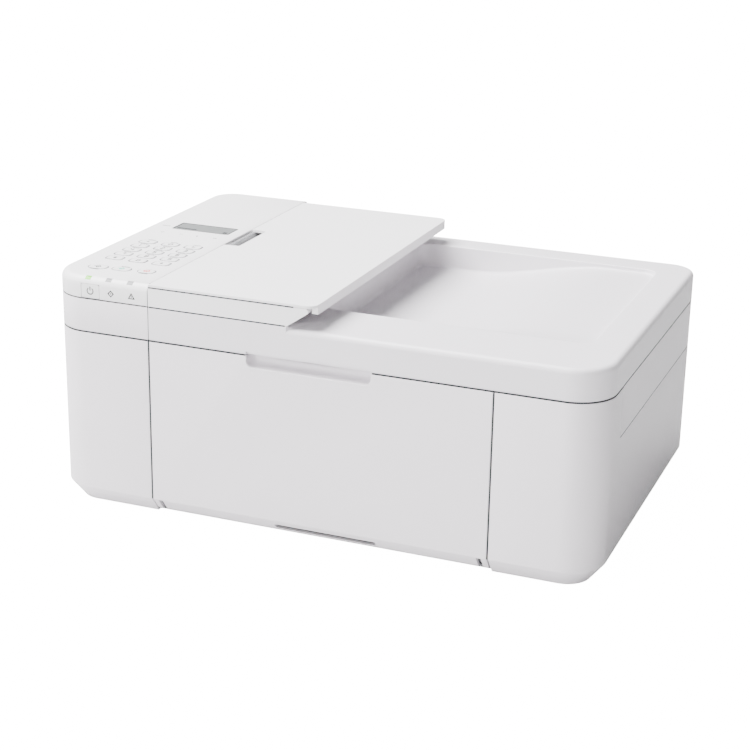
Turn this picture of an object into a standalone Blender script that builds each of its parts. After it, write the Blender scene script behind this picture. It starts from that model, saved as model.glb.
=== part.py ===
"""Desktop inkjet printer with a flatbed scanner and a document feeder.

Metres, +Z up, the front faces -Y. The origin is on the table, under the middle of the case.
Every piece is its own closed solid, and a moving piece has its origin on its joint's axis.
"""

import math

import bmesh
import bpy
from mathutils import Matrix, Vector

# Driving dimensions: the case.
CASE_WIDTH = 0.435
CASE_DEPTH = 0.295
FOOT_HEIGHT = 0.004
BEVEL_HEIGHT = 0.014
BEVEL_INSET = 0.011
LOWER_HEIGHT = 0.1035
SCANNER_HEIGHT = 0.0382
LID_HEIGHT = 0.0263
FEEDER_HEIGHT = 0.015
TRAY_LIP = 0.002
RIM_DROP = 0.002
FRONT_RADIUS = 0.030
REAR_RADIUS = 0.022
WALL = 0.0026
GAP = 0.0003
TOWER_WIDTH = 0.0855
RIGHT_CASE_WIDTH = 0.080

# Driving dimensions: what the case holds.
PAPER_WIDTH = 0.216
HANDLE_WIDTH = 0.098
HANDLE_DEPTH = 0.0105
PIN_RADIUS = 0.0015
FEED_RADIUS = 0.006
EJECT_RADIUS = 0.004
PICKUP_RADIUS = 0.009
SHAFT_RADIUS = 0.0025
PULLEY_RADIUS = 0.005
BELT_THICKNESS = 0.001
CARRIAGE_WIDTH = 0.060
MOTOR_RADIUS = 0.0105
GLASS_THICKNESS = 0.002
FEEDER_ROLLER_RADIUS = 0.009
PICK_ROLLER_RADIUS = 0.004
FEEDER_REACH = 0.1337
KEY_SIZE = (0.013, 0.0078)
KEY_PITCH_Y = 0.0132

# Places that follow from them.
LEFT = -CASE_WIDTH / 2
RIGHT = CASE_WIDTH / 2
FRONT = -CASE_DEPTH / 2
BACK = CASE_DEPTH / 2
TOWER_X = LEFT + TOWER_WIDTH
COVER_X = RIGHT - RIGHT_CASE_WIDTH
PATH_X = (TOWER_X + COVER_X) / 2
CASE_BOTTOM = FOOT_HEIGHT
BEVEL_TOP = CASE_BOTTOM + BEVEL_HEIGHT
SCANNER_Z = CASE_BOTTOM + LOWER_HEIGHT
DECK_Z = SCANNER_Z + SCANNER_HEIGHT
FASCIA_Z = DECK_Z + LID_HEIGHT
TRAY_Z = FASCIA_Z + FEEDER_HEIGHT
TOP_Z = TRAY_Z + TRAY_LIP
RIM_Z = FASCIA_Z - RIM_DROP
PAN_TOP = CASE_BOTTOM + WALL
BEVEL_SLOPE = BEVEL_INSET / BEVEL_HEIGHT
ROLLER_HALF = PAPER_WIDTH / 2 + 0.004
SIDE_PLATE_X = ROLLER_HALF + 0.012
SIDE_PLATE = 0.002
DOOR_AXIS = (FRONT + BEVEL_INSET + 0.0005, BEVEL_TOP - 0.005)
LID_AXIS = (BACK - 0.006, DECK_Z + 0.0063)
TRAY_AXIS = (TOWER_X + FEEDER_REACH - 0.0067, TRAY_Z - 0.0025)
PANEL_TOP = TOP_Z - 0.0004
PANEL_UNDER = PANEL_TOP - 0.0022

# Places and sizes of single pieces, in the order in which they are made.
INLET_X = LEFT + 0.030
INLET_HALF = 0.0125
INLET_Z = 0.026
INLET_HIGH = 0.019
USB_X = LEFT + 0.060
USB_HALF = 0.0068
USB_HIGH = 0.0115
PHONE_X = LEFT + 0.0345
PHONE_HALF = 0.0145
PHONE_HIGH = 0.013
PORT_Z = 0.066
SIDE_SEAM_Y = FRONT + 0.0475
HANDLE_X = PATH_X - 0.0058
TRAY_FLOOR = PAN_TOP + 0.0014
TRAY_HALF = PAPER_WIDTH / 2 + 0.008
TRAY_FRONT = FRONT + 0.0235
TRAY_BACK = BACK - 0.0275
OUTPUT_Z = 0.036
COVER_AXIS = (FRONT + 0.0280, OUTPUT_Z + 0.011)
FEED_AXIS = (0.022, 0.050)
EJECT_AXIS = (FRONT + 0.0775, 0.050)
PICKUP_AXIS = (0.075, 0.038)
RAIL_FRONT = 0.012
RAIL_TOP = SCANNER_Z - 0.0025
BELT_Y = RAIL_FRONT + 0.0105
BELT_Z = RAIL_TOP - 0.016
CARRIAGE_X = COVER_X + 0.008
CARRIAGE_Z = 0.052
IDLER_X = TOWER_X + 0.010
MOTOR_X = RIGHT - 0.0215
SCANNER_FRONT = FRONT + 0.0165
GLASS_X = (TOWER_X + 0.034, RIGHT - 0.0165)
STRIP_X = (TOWER_X + 0.010, TOWER_X + 0.026)
GLASS_Y = (FRONT + 0.0395, BACK - 0.0395)
DECK_TOP = DECK_Z - GAP
GLASS_UNDER = DECK_TOP - GLASS_THICKNESS
SCAN_ROD_Z = SCANNER_Z + 0.012
RECESS_LEFT = TOWER_X + 0.117
RECESS_RIGHT = RIGHT - 0.0275
RECESS_FRONT = FRONT + 0.0575
RECESS_BACK = BACK - 0.0275
RECESS_CORNER = 0.012
LID_FLOOR_Z = DECK_Z + 0.0043
HINGE_X = (TOWER_X + 0.045, RIGHT - 0.045)
FEEDER_BACK = BACK - 0.0115
WELL_X = (TOWER_X + 0.0045, TOWER_X + 0.061)
WELL_Y = 0.118
FEEDER_FLOOR = FASCIA_Z + 0.002
FEED_ROLLER_AXIS = (TOWER_X + 0.033, FASCIA_Z - 0.009)
PICK_ROLLER_AXIS = (TOWER_X + 0.046, FEEDER_FLOOR + PICK_ROLLER_RADIUS + GAP)
COVER_TOP = TRAY_Z - 0.0030
COVER_BARREL = 0.0022
COVER_HINGE = (TOWER_X + 0.0055, COVER_TOP - COVER_BARREL)
FEEDER_SIDE = 0.003
BED_X = (TOWER_X + 0.058, TOWER_X + 0.114)
BED_TOP = FEEDER_FLOOR + 0.0061
COVER_HALF = 0.119
TRAY_EAR = 0.0020
TRAY_STRIP = 0.0072
LEFT_COLUMN_X = TOWER_X - 0.0585
COLUMN_PITCH = 0.0202
NUMBER_ROW_Y = FRONT + 0.0560
DISPLAY_X = (TOWER_X - 0.0620, TOWER_X - 0.0110)
DISPLAY_Y = (FRONT + 0.1555, FRONT + 0.1765)
START_KEYS = {
    "black_start_key": (TOWER_X - 0.0575, FRONT + 0.0285, 0.0145),
    "colour_start_key": (TOWER_X - 0.0383, FRONT + 0.0305, 0.0140),
    "stop_key": (TOWER_X - 0.0180, FRONT + 0.0325, 0.0128),
}
START_KEY_DEPTH = 0.0088
POWER_X = (TOWER_X - 0.0560, TOWER_X - 0.0408)
POWER_Z = (FASCIA_Z + 0.0006, FASCIA_Z + 0.0114)
PANEL_EDGE = 0.006


def clear_scene():
    for item in list(bpy.data.objects):
        bpy.data.objects.remove(item)


def new_collection(name):
    collection = bpy.data.collections.new(name)
    bpy.context.scene.collection.children.link(collection)
    return collection


clear_scene()
PARTS = new_collection("inkjet_printer")
CUTTERS = new_collection("cutters")


def make_material(name, colour, roughness, metallic=0.0):
    material = bpy.data.materials.new(name)
    material.use_nodes = True
    shader = material.node_tree.nodes["Principled BSDF"]
    shader.inputs["Base Color"].default_value = (*colour, 1.0)
    shader.inputs["Roughness"].default_value = roughness
    shader.inputs["Metallic"].default_value = metallic
    return material


FINISHES = {
    "case_white": ((0.82, 0.81, 0.83), 0.45, 0.0),
    "lid_white": ((0.88, 0.88, 0.89), 0.4, 0.0),
    "inner_grey": ((0.32, 0.32, 0.33), 0.5, 0.0),
    "dark_grey": ((0.06, 0.06, 0.065), 0.5, 0.0),
    "light_key": ((0.78, 0.79, 0.8), 0.5, 0.0),
    "steel": ((0.55, 0.56, 0.57), 0.35, 1.0),
    "glass": ((0.55, 0.6, 0.62), 0.05, 0.0),
    "display": ((0.17, 0.18, 0.19), 0.2, 0.0),
    "rubber": ((0.03, 0.03, 0.03), 0.8, 0.0),
    "board_green": ((0.04, 0.2, 0.09), 0.5, 0.0),
    "foam_white": ((0.85, 0.85, 0.84), 0.8, 0.0),
}


def weld(mesh):
    work = bmesh.new()
    work.from_mesh(mesh)
    bmesh.ops.remove_doubles(work, verts=work.verts, dist=0.00001)
    bmesh.ops.recalc_face_normals(work, faces=work.faces)
    work.to_mesh(mesh)
    work.free()


def link_mesh(name, mesh):
    piece = bpy.data.objects.new(name, mesh)
    PARTS.objects.link(piece)
    return piece


def outline(x0, x1, y0, y1, radii=(0, 0, 0, 0), steps=5):
    """Corner points anticlockwise from the front left, each corner an arc of its own radius."""
    corners = (
        (x0 + radii[0], y0 + radii[0], radii[0], 180),
        (x1 - radii[1], y0 + radii[1], radii[1], 270),
        (x1 - radii[2], y1 - radii[2], radii[2], 0),
        (x0 + radii[3], y1 - radii[3], radii[3], 90),
    )
    points = []
    for x, y, radius, start in corners:
        count = steps if radius > 0 else 0
        for k in range(count + 1):
            angle = math.radians(start + 90 * k / max(count, 1))
            points.append((x + radius * math.cos(angle), y + radius * math.sin(angle)))
    return points


def prism(name, points, low, high, axis="Z"):
    """A flat outline extruded from low to high: (x, y) along Z, (x, z) along Y or (y, z) along X."""
    curve = bpy.data.curves.new(name, "CURVE")
    curve.dimensions = "2D"
    curve.fill_mode = "BOTH"
    curve.extrude = (high - low) / 2
    spline = curve.splines.new("POLY")
    spline.points.add(len(points) - 1)
    for point, place in zip(spline.points, points):
        point.co = (*place, 0, 1)
    spline.use_cyclic_u = True
    guide = bpy.data.objects.new(name, curve)
    PARTS.objects.link(guide)
    bpy.context.view_layer.update()
    graph = bpy.context.evaluated_depsgraph_get()
    mesh = bpy.data.meshes.new_from_object(guide.evaluated_get(graph))
    bpy.data.objects.remove(guide)
    turns = {
        "Z": Matrix.Identity(4),
        "Y": Matrix.Rotation(math.radians(90), 4, "X"),
        "X": Matrix(((0, 0, 1, 0), (1, 0, 0, 0), (0, 1, 0, 0), (0, 0, 0, 1))),
    }
    middle = (low + high) / 2
    shift = {"Z": (0, 0, middle), "Y": (0, middle, 0), "X": (middle, 0, 0)}[axis]
    mesh.transform(Matrix.Translation(shift) @ turns[axis])
    weld(mesh)
    return link_mesh(name, mesh)


def block(name, x0, x1, y0, y1, z0, z1):
    mesh = bpy.data.meshes.new(name)
    work = bmesh.new()
    bmesh.ops.create_cube(work, size=1.0)
    size = Matrix.Diagonal((x1 - x0, y1 - y0, z1 - z0, 1))
    middle = Matrix.Translation(((x0 + x1) / 2, (y0 + y1) / 2, (z0 + z1) / 2))
    work.transform(middle @ size)
    work.to_mesh(mesh)
    work.free()
    return link_mesh(name, mesh)


def cylinder(name, axis, low, high, centre, radius, sides=20, tip=None):
    """A cylinder or cone along an axis; centre is its place across the axis, in X, Y, Z order."""
    mesh = bpy.data.meshes.new(name)
    work = bmesh.new()
    bmesh.ops.create_cone(
        work, cap_ends=True, segments=sides, radius1=radius,
        radius2=radius if tip is None else tip, depth=high - low,
    )
    middle = (low + high) / 2
    a, b = centre
    turn, place = {
        "X": (Matrix.Rotation(math.radians(90), 4, "Y"), (middle, a, b)),
        "Y": (Matrix.Rotation(math.radians(-90), 4, "X"), (a, middle, b)),
        "Z": (Matrix.Identity(4), (a, b, middle)),
    }[axis]
    work.transform(Matrix.Translation(place) @ turn)
    work.to_mesh(mesh)
    work.free()
    return link_mesh(name, mesh)


def loft(name, rings):
    """A closed solid through level rings of (points, z), all with as many points."""
    mesh = bpy.data.meshes.new(name)
    work = bmesh.new()
    levels = [[work.verts.new((x, y, z)) for x, y in points] for points, z in rings]
    count = len(levels[0])
    for lower, upper in zip(levels, levels[1:]):
        for k in range(count):
            after = (k + 1) % count
            work.faces.new((lower[k], lower[after], upper[after], upper[k]))
    work.faces.new(reversed(levels[0]))
    work.faces.new(levels[-1])
    work.to_mesh(mesh)
    work.free()
    return link_mesh(name, mesh)


def combine(target, other, operation="DIFFERENCE"):
    """Adds a Boolean with a helper piece, which moves to the cutters."""
    PARTS.objects.unlink(other)
    CUTTERS.objects.link(other)
    other.hide_render = True
    other.display_type = "WIRE"
    change = target.modifiers.new(operation.lower(), "BOOLEAN")
    change.operation = operation
    change.solver = "EXACT"
    change.object = other
    return target


def cut(target, *others):
    for other in others:
        combine(target, other, "DIFFERENCE")
    return target


def join(target, *others):
    for other in others:
        combine(target, other, "UNION")
    return target


def keep_inside(target, other):
    return combine(target, other, "INTERSECT")


def finish(piece, finish_name, pivot=None):
    """Gives a piece its material and smooth shading and, if it moves, its origin on its joint's axis."""
    if finish_name not in bpy.data.materials:
        make_material(finish_name, *FINISHES[finish_name])
    piece.data.materials.append(bpy.data.materials[finish_name])
    piece.data.shade_smooth()
    piece.data.set_sharp_from_angle(angle=math.radians(32))
    if pivot is not None:
        piece.data.transform(Matrix.Translation(-Vector(pivot)))
        piece.location = pivot
    return piece


def case_outline(inset, steps=6):
    front = max(FRONT_RADIUS - inset, 0.001)
    rear = max(REAR_RADIUS - inset, 0.001)
    radii = (front, front, rear, rear)
    return outline(LEFT + inset, RIGHT - inset, FRONT + inset, BACK - inset, radii, steps)


def case_shell(name):
    """The wall of the whole case, with its lower edge bevelled under and open at top and bottom."""
    outer = loft(name, [
        (case_outline(BEVEL_INSET), CASE_BOTTOM),
        (case_outline(0), BEVEL_TOP),
        (case_outline(0), DECK_Z - GAP),
    ])
    below = 0.003
    inner = loft(name + "_inner", [
        (case_outline(BEVEL_INSET + WALL * 1.27 + below * BEVEL_SLOPE), CASE_BOTTOM - below),
        (case_outline(WALL), BEVEL_TOP + WALL * 0.5),
        (case_outline(WALL), DECK_Z + below),
    ])
    return cut(outer, inner)


def far_box(name, x0=None, x1=None, y0=None, y1=None, z0=None, z1=None):
    """A region of space for cutting; a side that is left out lies far outside the case."""
    far = CASE_WIDTH + CASE_DEPTH
    ends = [-far if v is None else v for v in (x0, y0, z0)]
    others = [far if v is None else v for v in (x1, y1, z1)]
    return block(name, ends[0], others[0], ends[1], others[1], ends[2], others[2])


def make_cases():
    left = case_shell("left_case")
    keep_inside(left, far_box("left_region", x1=TOWER_X - GAP))
    back_wall = (BACK - 0.010, BACK + 0.010)
    cut(
        left,
        block("inlet_hole", INLET_X - INLET_HALF - GAP, INLET_X + INLET_HALF + GAP, *back_wall,
              INLET_Z - GAP, INLET_Z + INLET_HIGH + GAP),
        block("usb_hole", USB_X - USB_HALF - GAP, USB_X + USB_HALF + GAP, *back_wall,
              PORT_Z - GAP, PORT_Z + USB_HIGH + GAP),
        block("phone_hole", PHONE_X - PHONE_HALF - GAP, PHONE_X + PHONE_HALF + GAP, *back_wall,
              PORT_Z - GAP, PORT_Z + PHONE_HIGH + GAP),
    )
    finish(left, "case_white")

    right = case_shell("right_case")
    keep_inside(right, far_box("right_region", x0=COVER_X + GAP))
    cut(right, far_box("scanner_side", x0=0, y0=SIDE_SEAM_Y - GAP, z0=SCANNER_Z - GAP))
    finish(right, "case_white")

    rear = case_shell("rear_cover")
    keep_inside(rear, block("rear_region", TOWER_X + GAP, COVER_X - GAP, 0, BACK + 0.01,
                            0, SCANNER_Z - GAP))
    finish(rear, "case_white")


# Sockets in the back of the left tower.


def make_base_pan():
    inset = BEVEL_INSET + WALL * 1.27 + GAP
    pan = loft("base_pan", [
        (case_outline(inset), CASE_BOTTOM),
        (case_outline(inset), PAN_TOP),
    ])
    door_y, door_z = DOOR_AXIS
    cut(pan, block("door_relief", TOWER_X, COVER_X, FRONT, door_y + 0.0035, 0, PAN_TOP + 0.01))
    for name, x in (("left", TOWER_X + 0.005), ("right", COVER_X - 0.008)):
        cheek = block(name + "_cheek", x, x + 0.003, door_y, door_y + 0.011,
                      door_z - 0.003, door_z + 0.003)
        join(cheek, cylinder(name + "_boss", "X", x, x + 0.003, (door_y, door_z), 0.003, 16))
        join(cheek, block(name + "_post", x, x + 0.003, door_y + 0.007, door_y + 0.0112,
                          PAN_TOP - 0.001, door_z + 0.0028))
        cut(cheek, cylinder(name + "_bearing", "X", x - 0.001, x + 0.004, (door_y, door_z),
                            PIN_RADIUS + GAP, 16))
        join(pan, cheek)
    finish(pan, "inner_grey")


def make_feet():
    for end, y in (("front", FRONT + 0.034), ("rear", BACK - 0.032)):
        for side, x in (("left", LEFT + 0.034), ("right", RIGHT - 0.034)):
            name = f"foot_{end}_{side}"
            foot = cylinder(name, "Z", 0, FOOT_HEIGHT - GAP, (x, y), 0.0065, 20, 0.0075)
            finish(foot, "rubber")


def make_front_cover():
    door_y, door_z = DOOR_AXIS
    lower_edge = CASE_BOTTOM + 0.004
    door = case_shell("front_cover")
    keep_inside(door, block("door_region", TOWER_X + GAP, COVER_X - GAP, FRONT - 0.01,
                            FRONT + 0.030, lower_edge, DECK_Z + 0.01))
    handle_x = HANDLE_X
    low = DECK_Z - 0.0097
    half = HANDLE_WIDTH / 2
    cup = prism("handle_cup", outline(handle_x - half - 0.002, handle_x + half + 0.002,
                                      low - 0.002, DECK_Z - 3 * GAP, (0.006, 0.006, 0, 0)),
                FRONT + 0.001, FRONT + HANDLE_DEPTH + 0.0016, "Y")
    join(door, cup)
    hollow = prism("handle_hollow", outline(handle_x - half, handle_x + half, low, DECK_Z + 0.01,
                                            (0.0045, 0.0045, 0, 0)),
                   FRONT - 0.002, FRONT + HANDLE_DEPTH, "Y")
    cut(door, hollow)
    for name, x, way in (("left", TOWER_X, 1), ("right", COVER_X, -1)):
        inner = x + way * 0.0009
        outer = x + way * 0.0044
        lug = cylinder(name + "_lug", "X", min(inner, outer), max(inner, outer),
                       (door_y, door_z), 0.0030, 16)
        near, away = inner + way * 0.0003, outer - way * 0.0003
        join(lug, block(name + "_web", min(near, away), max(near, away), FRONT + 0.0052,
                        door_y, door_z - 0.001, door_z + 0.0022))
        tip = x + way * 0.0076
        join(lug, cylinder(name + "_pin", "X", min(near, tip), max(near, tip),
                           (door_y, door_z), PIN_RADIUS, 16))
        cheek = x + way * 0.0065
        cut(door, block(name + "_notch", cheek - 0.0019, cheek + 0.0019, FRONT - 0.01,
                        door_y + 0.01, 0, door_z + 0.0045))
        join(door, lug)
    finish(door, "case_white", (PATH_X, door_y, door_z))


def make_trays():
    tray = block("input_tray", PATH_X - TRAY_HALF, PATH_X + TRAY_HALF, TRAY_FRONT, TRAY_BACK,
                 TRAY_FLOOR, TRAY_FLOOR + 0.012)
    cut(tray, block("tray_hollow", PATH_X - TRAY_HALF + 0.0015, PATH_X + TRAY_HALF - 0.0015,
                    TRAY_FRONT - 0.01, TRAY_BACK - 0.0015, TRAY_FLOOR + 0.002, 0.1))
    finish(tray, "inner_grey")

    bed = TRAY_FLOOR + 0.002 + GAP
    for side, way in (("left", -1), ("right", 1)):
        wall = PATH_X + way * (PAPER_WIDTH / 2 + 0.0005)
        outer = wall + way * 0.0022
        foot = wall - way * 0.011
        guide = block(f"side_guide_{side}", min(wall, outer), max(wall, outer),
                      FRONT + 0.035, FRONT + 0.110, bed, bed + 0.015)
        join(guide, block(f"{side}_guide_foot", min(foot, outer), max(foot, outer),
                          FRONT + 0.050, FRONT + 0.095, bed, bed + 0.0014))
        finish(guide, "dark_grey", (wall, FRONT + 0.0725, bed))
    stop_y = TRAY_FRONT + 0.002
    front_guide = block("front_guide", PATH_X - 0.028, PATH_X + 0.028, stop_y, stop_y + 0.002,
                        bed, bed + 0.012)
    join(front_guide, block("front_guide_foot", PATH_X - 0.016, PATH_X + 0.016, stop_y,
                            stop_y + 0.016, bed, bed + 0.0014))
    finish(front_guide, "dark_grey", (PATH_X, stop_y, bed))

    output = block("output_tray", PATH_X - TRAY_HALF + 0.004, PATH_X + TRAY_HALF - 0.004,
                   FRONT + 0.0135, FRONT + 0.122, OUTPUT_Z, OUTPUT_Z + 0.0024)
    for k in range(5):
        x = PATH_X + (k - 2) * 0.045
        join(output, block(f"output_rib_{k}", x - 0.0008, x + 0.0008, FRONT + 0.020,
                           FRONT + 0.070, OUTPUT_Z + 0.001, OUTPUT_Z + 0.0034))
    finish(output, "inner_grey", (PATH_X, FRONT + 0.0135, OUTPUT_Z))
    extension = prism("tray_extension", outline(PATH_X - 0.050, PATH_X + 0.050, FRONT + 0.0145,
                                                FRONT + 0.085, (0.008, 0.008, 0, 0), 4),
                      OUTPUT_Z - GAP - 0.002, OUTPUT_Z - GAP)
    finish(extension, "inner_grey", (PATH_X, FRONT + 0.0145, OUTPUT_Z - 0.001))


def make_output_cover():
    y, z = COVER_AXIS
    half = SIDE_PLATE_X - 0.003
    cover = block("output_cover", PATH_X - half, PATH_X + half, y - 0.0015, y + 0.0010,
                  z, z + 0.054)
    join(cover, cylinder("cover_barrel", "X", PATH_X - half, PATH_X + half, (y, z), 0.0022, 16))
    for k in range(6):
        x = PATH_X + (k - 2.5) * 0.038
        join(cover, block(f"cover_rib_{k}", x - 0.0008, x + 0.0008, y, y + 0.005,
                          z + 0.008, z + 0.046))
    join(cover, cylinder("cover_pins", "X", PATH_X - SIDE_PLATE_X - SIDE_PLATE + 0.0005,
                         PATH_X + SIDE_PLATE_X + SIDE_PLATE - 0.0005, (y, z), PIN_RADIUS, 16))
    finish(cover, "inner_grey", (PATH_X, y, z))


# Axes of the rollers across the paper path, as (y, z).


def make_chassis():
    """Two steel side plates joined by a cross member, with the rollers' bearings in them."""
    chassis = None
    front_y = COVER_AXIS[0] - 0.005
    for side, way in (("left", -1), ("right", 1)):
        near = PATH_X + way * SIDE_PLATE_X
        away = near + way * SIDE_PLATE
        plate = block(f"side_plate_{side}", min(near, away), max(near, away),
                      front_y + 0.020, PICKUP_AXIS[0] + 0.014, 0.024, 0.062)
        cut(plate, block(f"carriage_way_{side}", min(near, away) - 0.01, max(near, away) + 0.01,
                         EJECT_AXIS[0] + 0.007, FEED_AXIS[0] - 0.008, CARRIAGE_Z - 0.003, 0.1))
        join(plate, block(f"cover_arm_{side}", min(near, away), max(near, away), front_y,
                          front_y + 0.030, COVER_AXIS[1] - 0.005, COVER_AXIS[1] + 0.005))
        for label, axis, radius in (
            ("feed", FEED_AXIS, SHAFT_RADIUS), ("eject", EJECT_AXIS, SHAFT_RADIUS),
            ("pickup", PICKUP_AXIS, SHAFT_RADIUS), ("cover", COVER_AXIS, PIN_RADIUS),
        ):
            cut(plate, cylinder(f"{label}_bearing_{side}", "X", min(near, away) - 0.001,
                                max(near, away) + 0.001, axis, radius + GAP, 16))
        if chassis is None:
            chassis = plate
            chassis.name = "chassis"
        else:
            join(chassis, plate)
    join(chassis, block("cross_member", PATH_X - SIDE_PLATE_X - 0.001,
                        PATH_X + SIDE_PLATE_X + 0.001, FEED_AXIS[0] + 0.014,
                        FEED_AXIS[0] + 0.016, 0.030, 0.058))
    finish(chassis, "steel")


def roller(name, axis, radius, half, sides=24):
    y, z = axis
    piece = cylinder(name, "X", PATH_X - half, PATH_X + half, axis, radius, sides)
    reach = SIDE_PLATE_X + SIDE_PLATE + 0.001
    join(piece, cylinder(name + "_shaft", "X", PATH_X - reach, PATH_X + reach, axis,
                         SHAFT_RADIUS, 16))
    return finish(piece, "rubber", (PATH_X, y, z))


def make_rollers():
    roller("feed_roller", FEED_AXIS, FEED_RADIUS, ROLLER_HALF)
    roller("eject_roller", EJECT_AXIS, EJECT_RADIUS, ROLLER_HALF)
    roller("pickup_roller", PICKUP_AXIS, PICKUP_RADIUS, 0.020)


def make_print_platen():
    platen = block("print_platen", PATH_X - ROLLER_HALF, PATH_X + ROLLER_HALF,
                   EJECT_AXIS[0] + 0.010, FEED_AXIS[0] - 0.010, 0.0415, 0.0465)
    for k in range(9):
        x = PATH_X + (k - 4) * ROLLER_HALF * 0.232
        join(platen, block(f"platen_rib_{k}", x - 0.0006, x + 0.0006, EJECT_AXIS[0] + 0.014,
                           FEED_AXIS[0] - 0.014, 0.046, 0.048))
    finish(platen, "dark_grey")


def make_carriage():
    rail = block("carriage_rail", TOWER_X + 0.001, RIGHT - 0.006, RAIL_FRONT, RAIL_FRONT + 0.044,
                 RAIL_TOP - 0.0015, RAIL_TOP)
    join(rail, block("rail_lip", TOWER_X + 0.001, RIGHT - 0.006, RAIL_FRONT, RAIL_FRONT + 0.0015,
                     RAIL_TOP - 0.008, RAIL_TOP - 0.001))
    join(rail, block("rail_back", TOWER_X + 0.001, RIGHT - 0.006, RAIL_FRONT + 0.0425,
                     RAIL_FRONT + 0.044, RAIL_TOP - 0.010, RAIL_TOP - 0.001))
    finish(rail, "steel")

    x0, x1 = CARRIAGE_X, CARRIAGE_X + CARRIAGE_WIDTH
    back = RAIL_FRONT - 0.001
    body = block("carriage", x0, x1, back - 0.070, back, CARRIAGE_Z, RAIL_TOP - 0.009)
    half = (x1 - x0) / 2
    for k in range(2):
        start = x0 + 0.002 + k * half
        cut(body, block(f"cartridge_bay_{k}", start, start + half - 0.004, back - 0.074,
                        back - 0.012, CARRIAGE_Z + 0.002, RAIL_TOP))
    join(body, block("belt_clamp", x0 + 0.020, x1 - 0.020, back - 0.002,
                     BELT_Y - PULLEY_RADIUS - BELT_THICKNESS - 2 * GAP,
                     BELT_Z - 0.0015, BELT_Z + 0.0035))
    finish(body, "dark_grey", (x0 + half, back, BELT_Z))

    for k, name in enumerate(("black_cartridge", "colour_cartridge")):
        start = x0 + 0.002 + k * half + GAP
        cartridge = block(name, start, start + half - 0.004 - 2 * GAP, back - 0.0715,
                          back - 0.012 - GAP, CARRIAGE_Z + 0.002 + GAP, RAIL_TOP - 0.012)
        cut(cartridge, block(name + "_step", start - 0.01, start + half, back - 0.08,
                             back - 0.055, CARRIAGE_Z, CARRIAGE_Z + 0.020))
        finish(cartridge, "dark_grey", (start, back - 0.0715, RAIL_TOP - 0.012))

    belt_r = PULLEY_RADIUS + GAP
    belt_outer = belt_r + BELT_THICKNESS
    for name, radius in (("carriage_belt", belt_outer), ("belt_hollow", belt_r)):
        loop = outline(IDLER_X - radius, MOTOR_X + radius, BELT_Y - radius, BELT_Y + radius,
                       (radius,) * 4, 5)
        extra = 0 if name == "carriage_belt" else 0.001
        prism(name, loop, BELT_Z - 0.0025 - extra, BELT_Z + 0.0025 + extra)
    belt = bpy.data.objects["carriage_belt"]
    cut(belt, bpy.data.objects["belt_hollow"])
    finish(belt, "rubber")
    for name, x in (("motor_pulley", MOTOR_X), ("idler_pulley", IDLER_X)):
        pulley = cylinder(name, "Z", BELT_Z - 0.0035, BELT_Z + 0.0035, (x, BELT_Y),
                          PULLEY_RADIUS, 24)
        cut(pulley, cylinder(name + "_bore", "Z", BELT_Z - 0.01, BELT_Z + 0.01, (x, BELT_Y),
                             0.0014, 12))
        finish(pulley, "light_key", (x, BELT_Y, BELT_Z))
    motor = cylinder("carriage_motor", "Z", BELT_Z - 0.032, BELT_Z - 0.0045, (MOTOR_X, BELT_Y),
                     MOTOR_RADIUS, 28)
    join(motor, cylinder("motor_shaft", "Z", BELT_Z - 0.006, BELT_Z + 0.005, (MOTOR_X, BELT_Y),
                         0.0011, 12))
    finish(motor, "steel")


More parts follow.
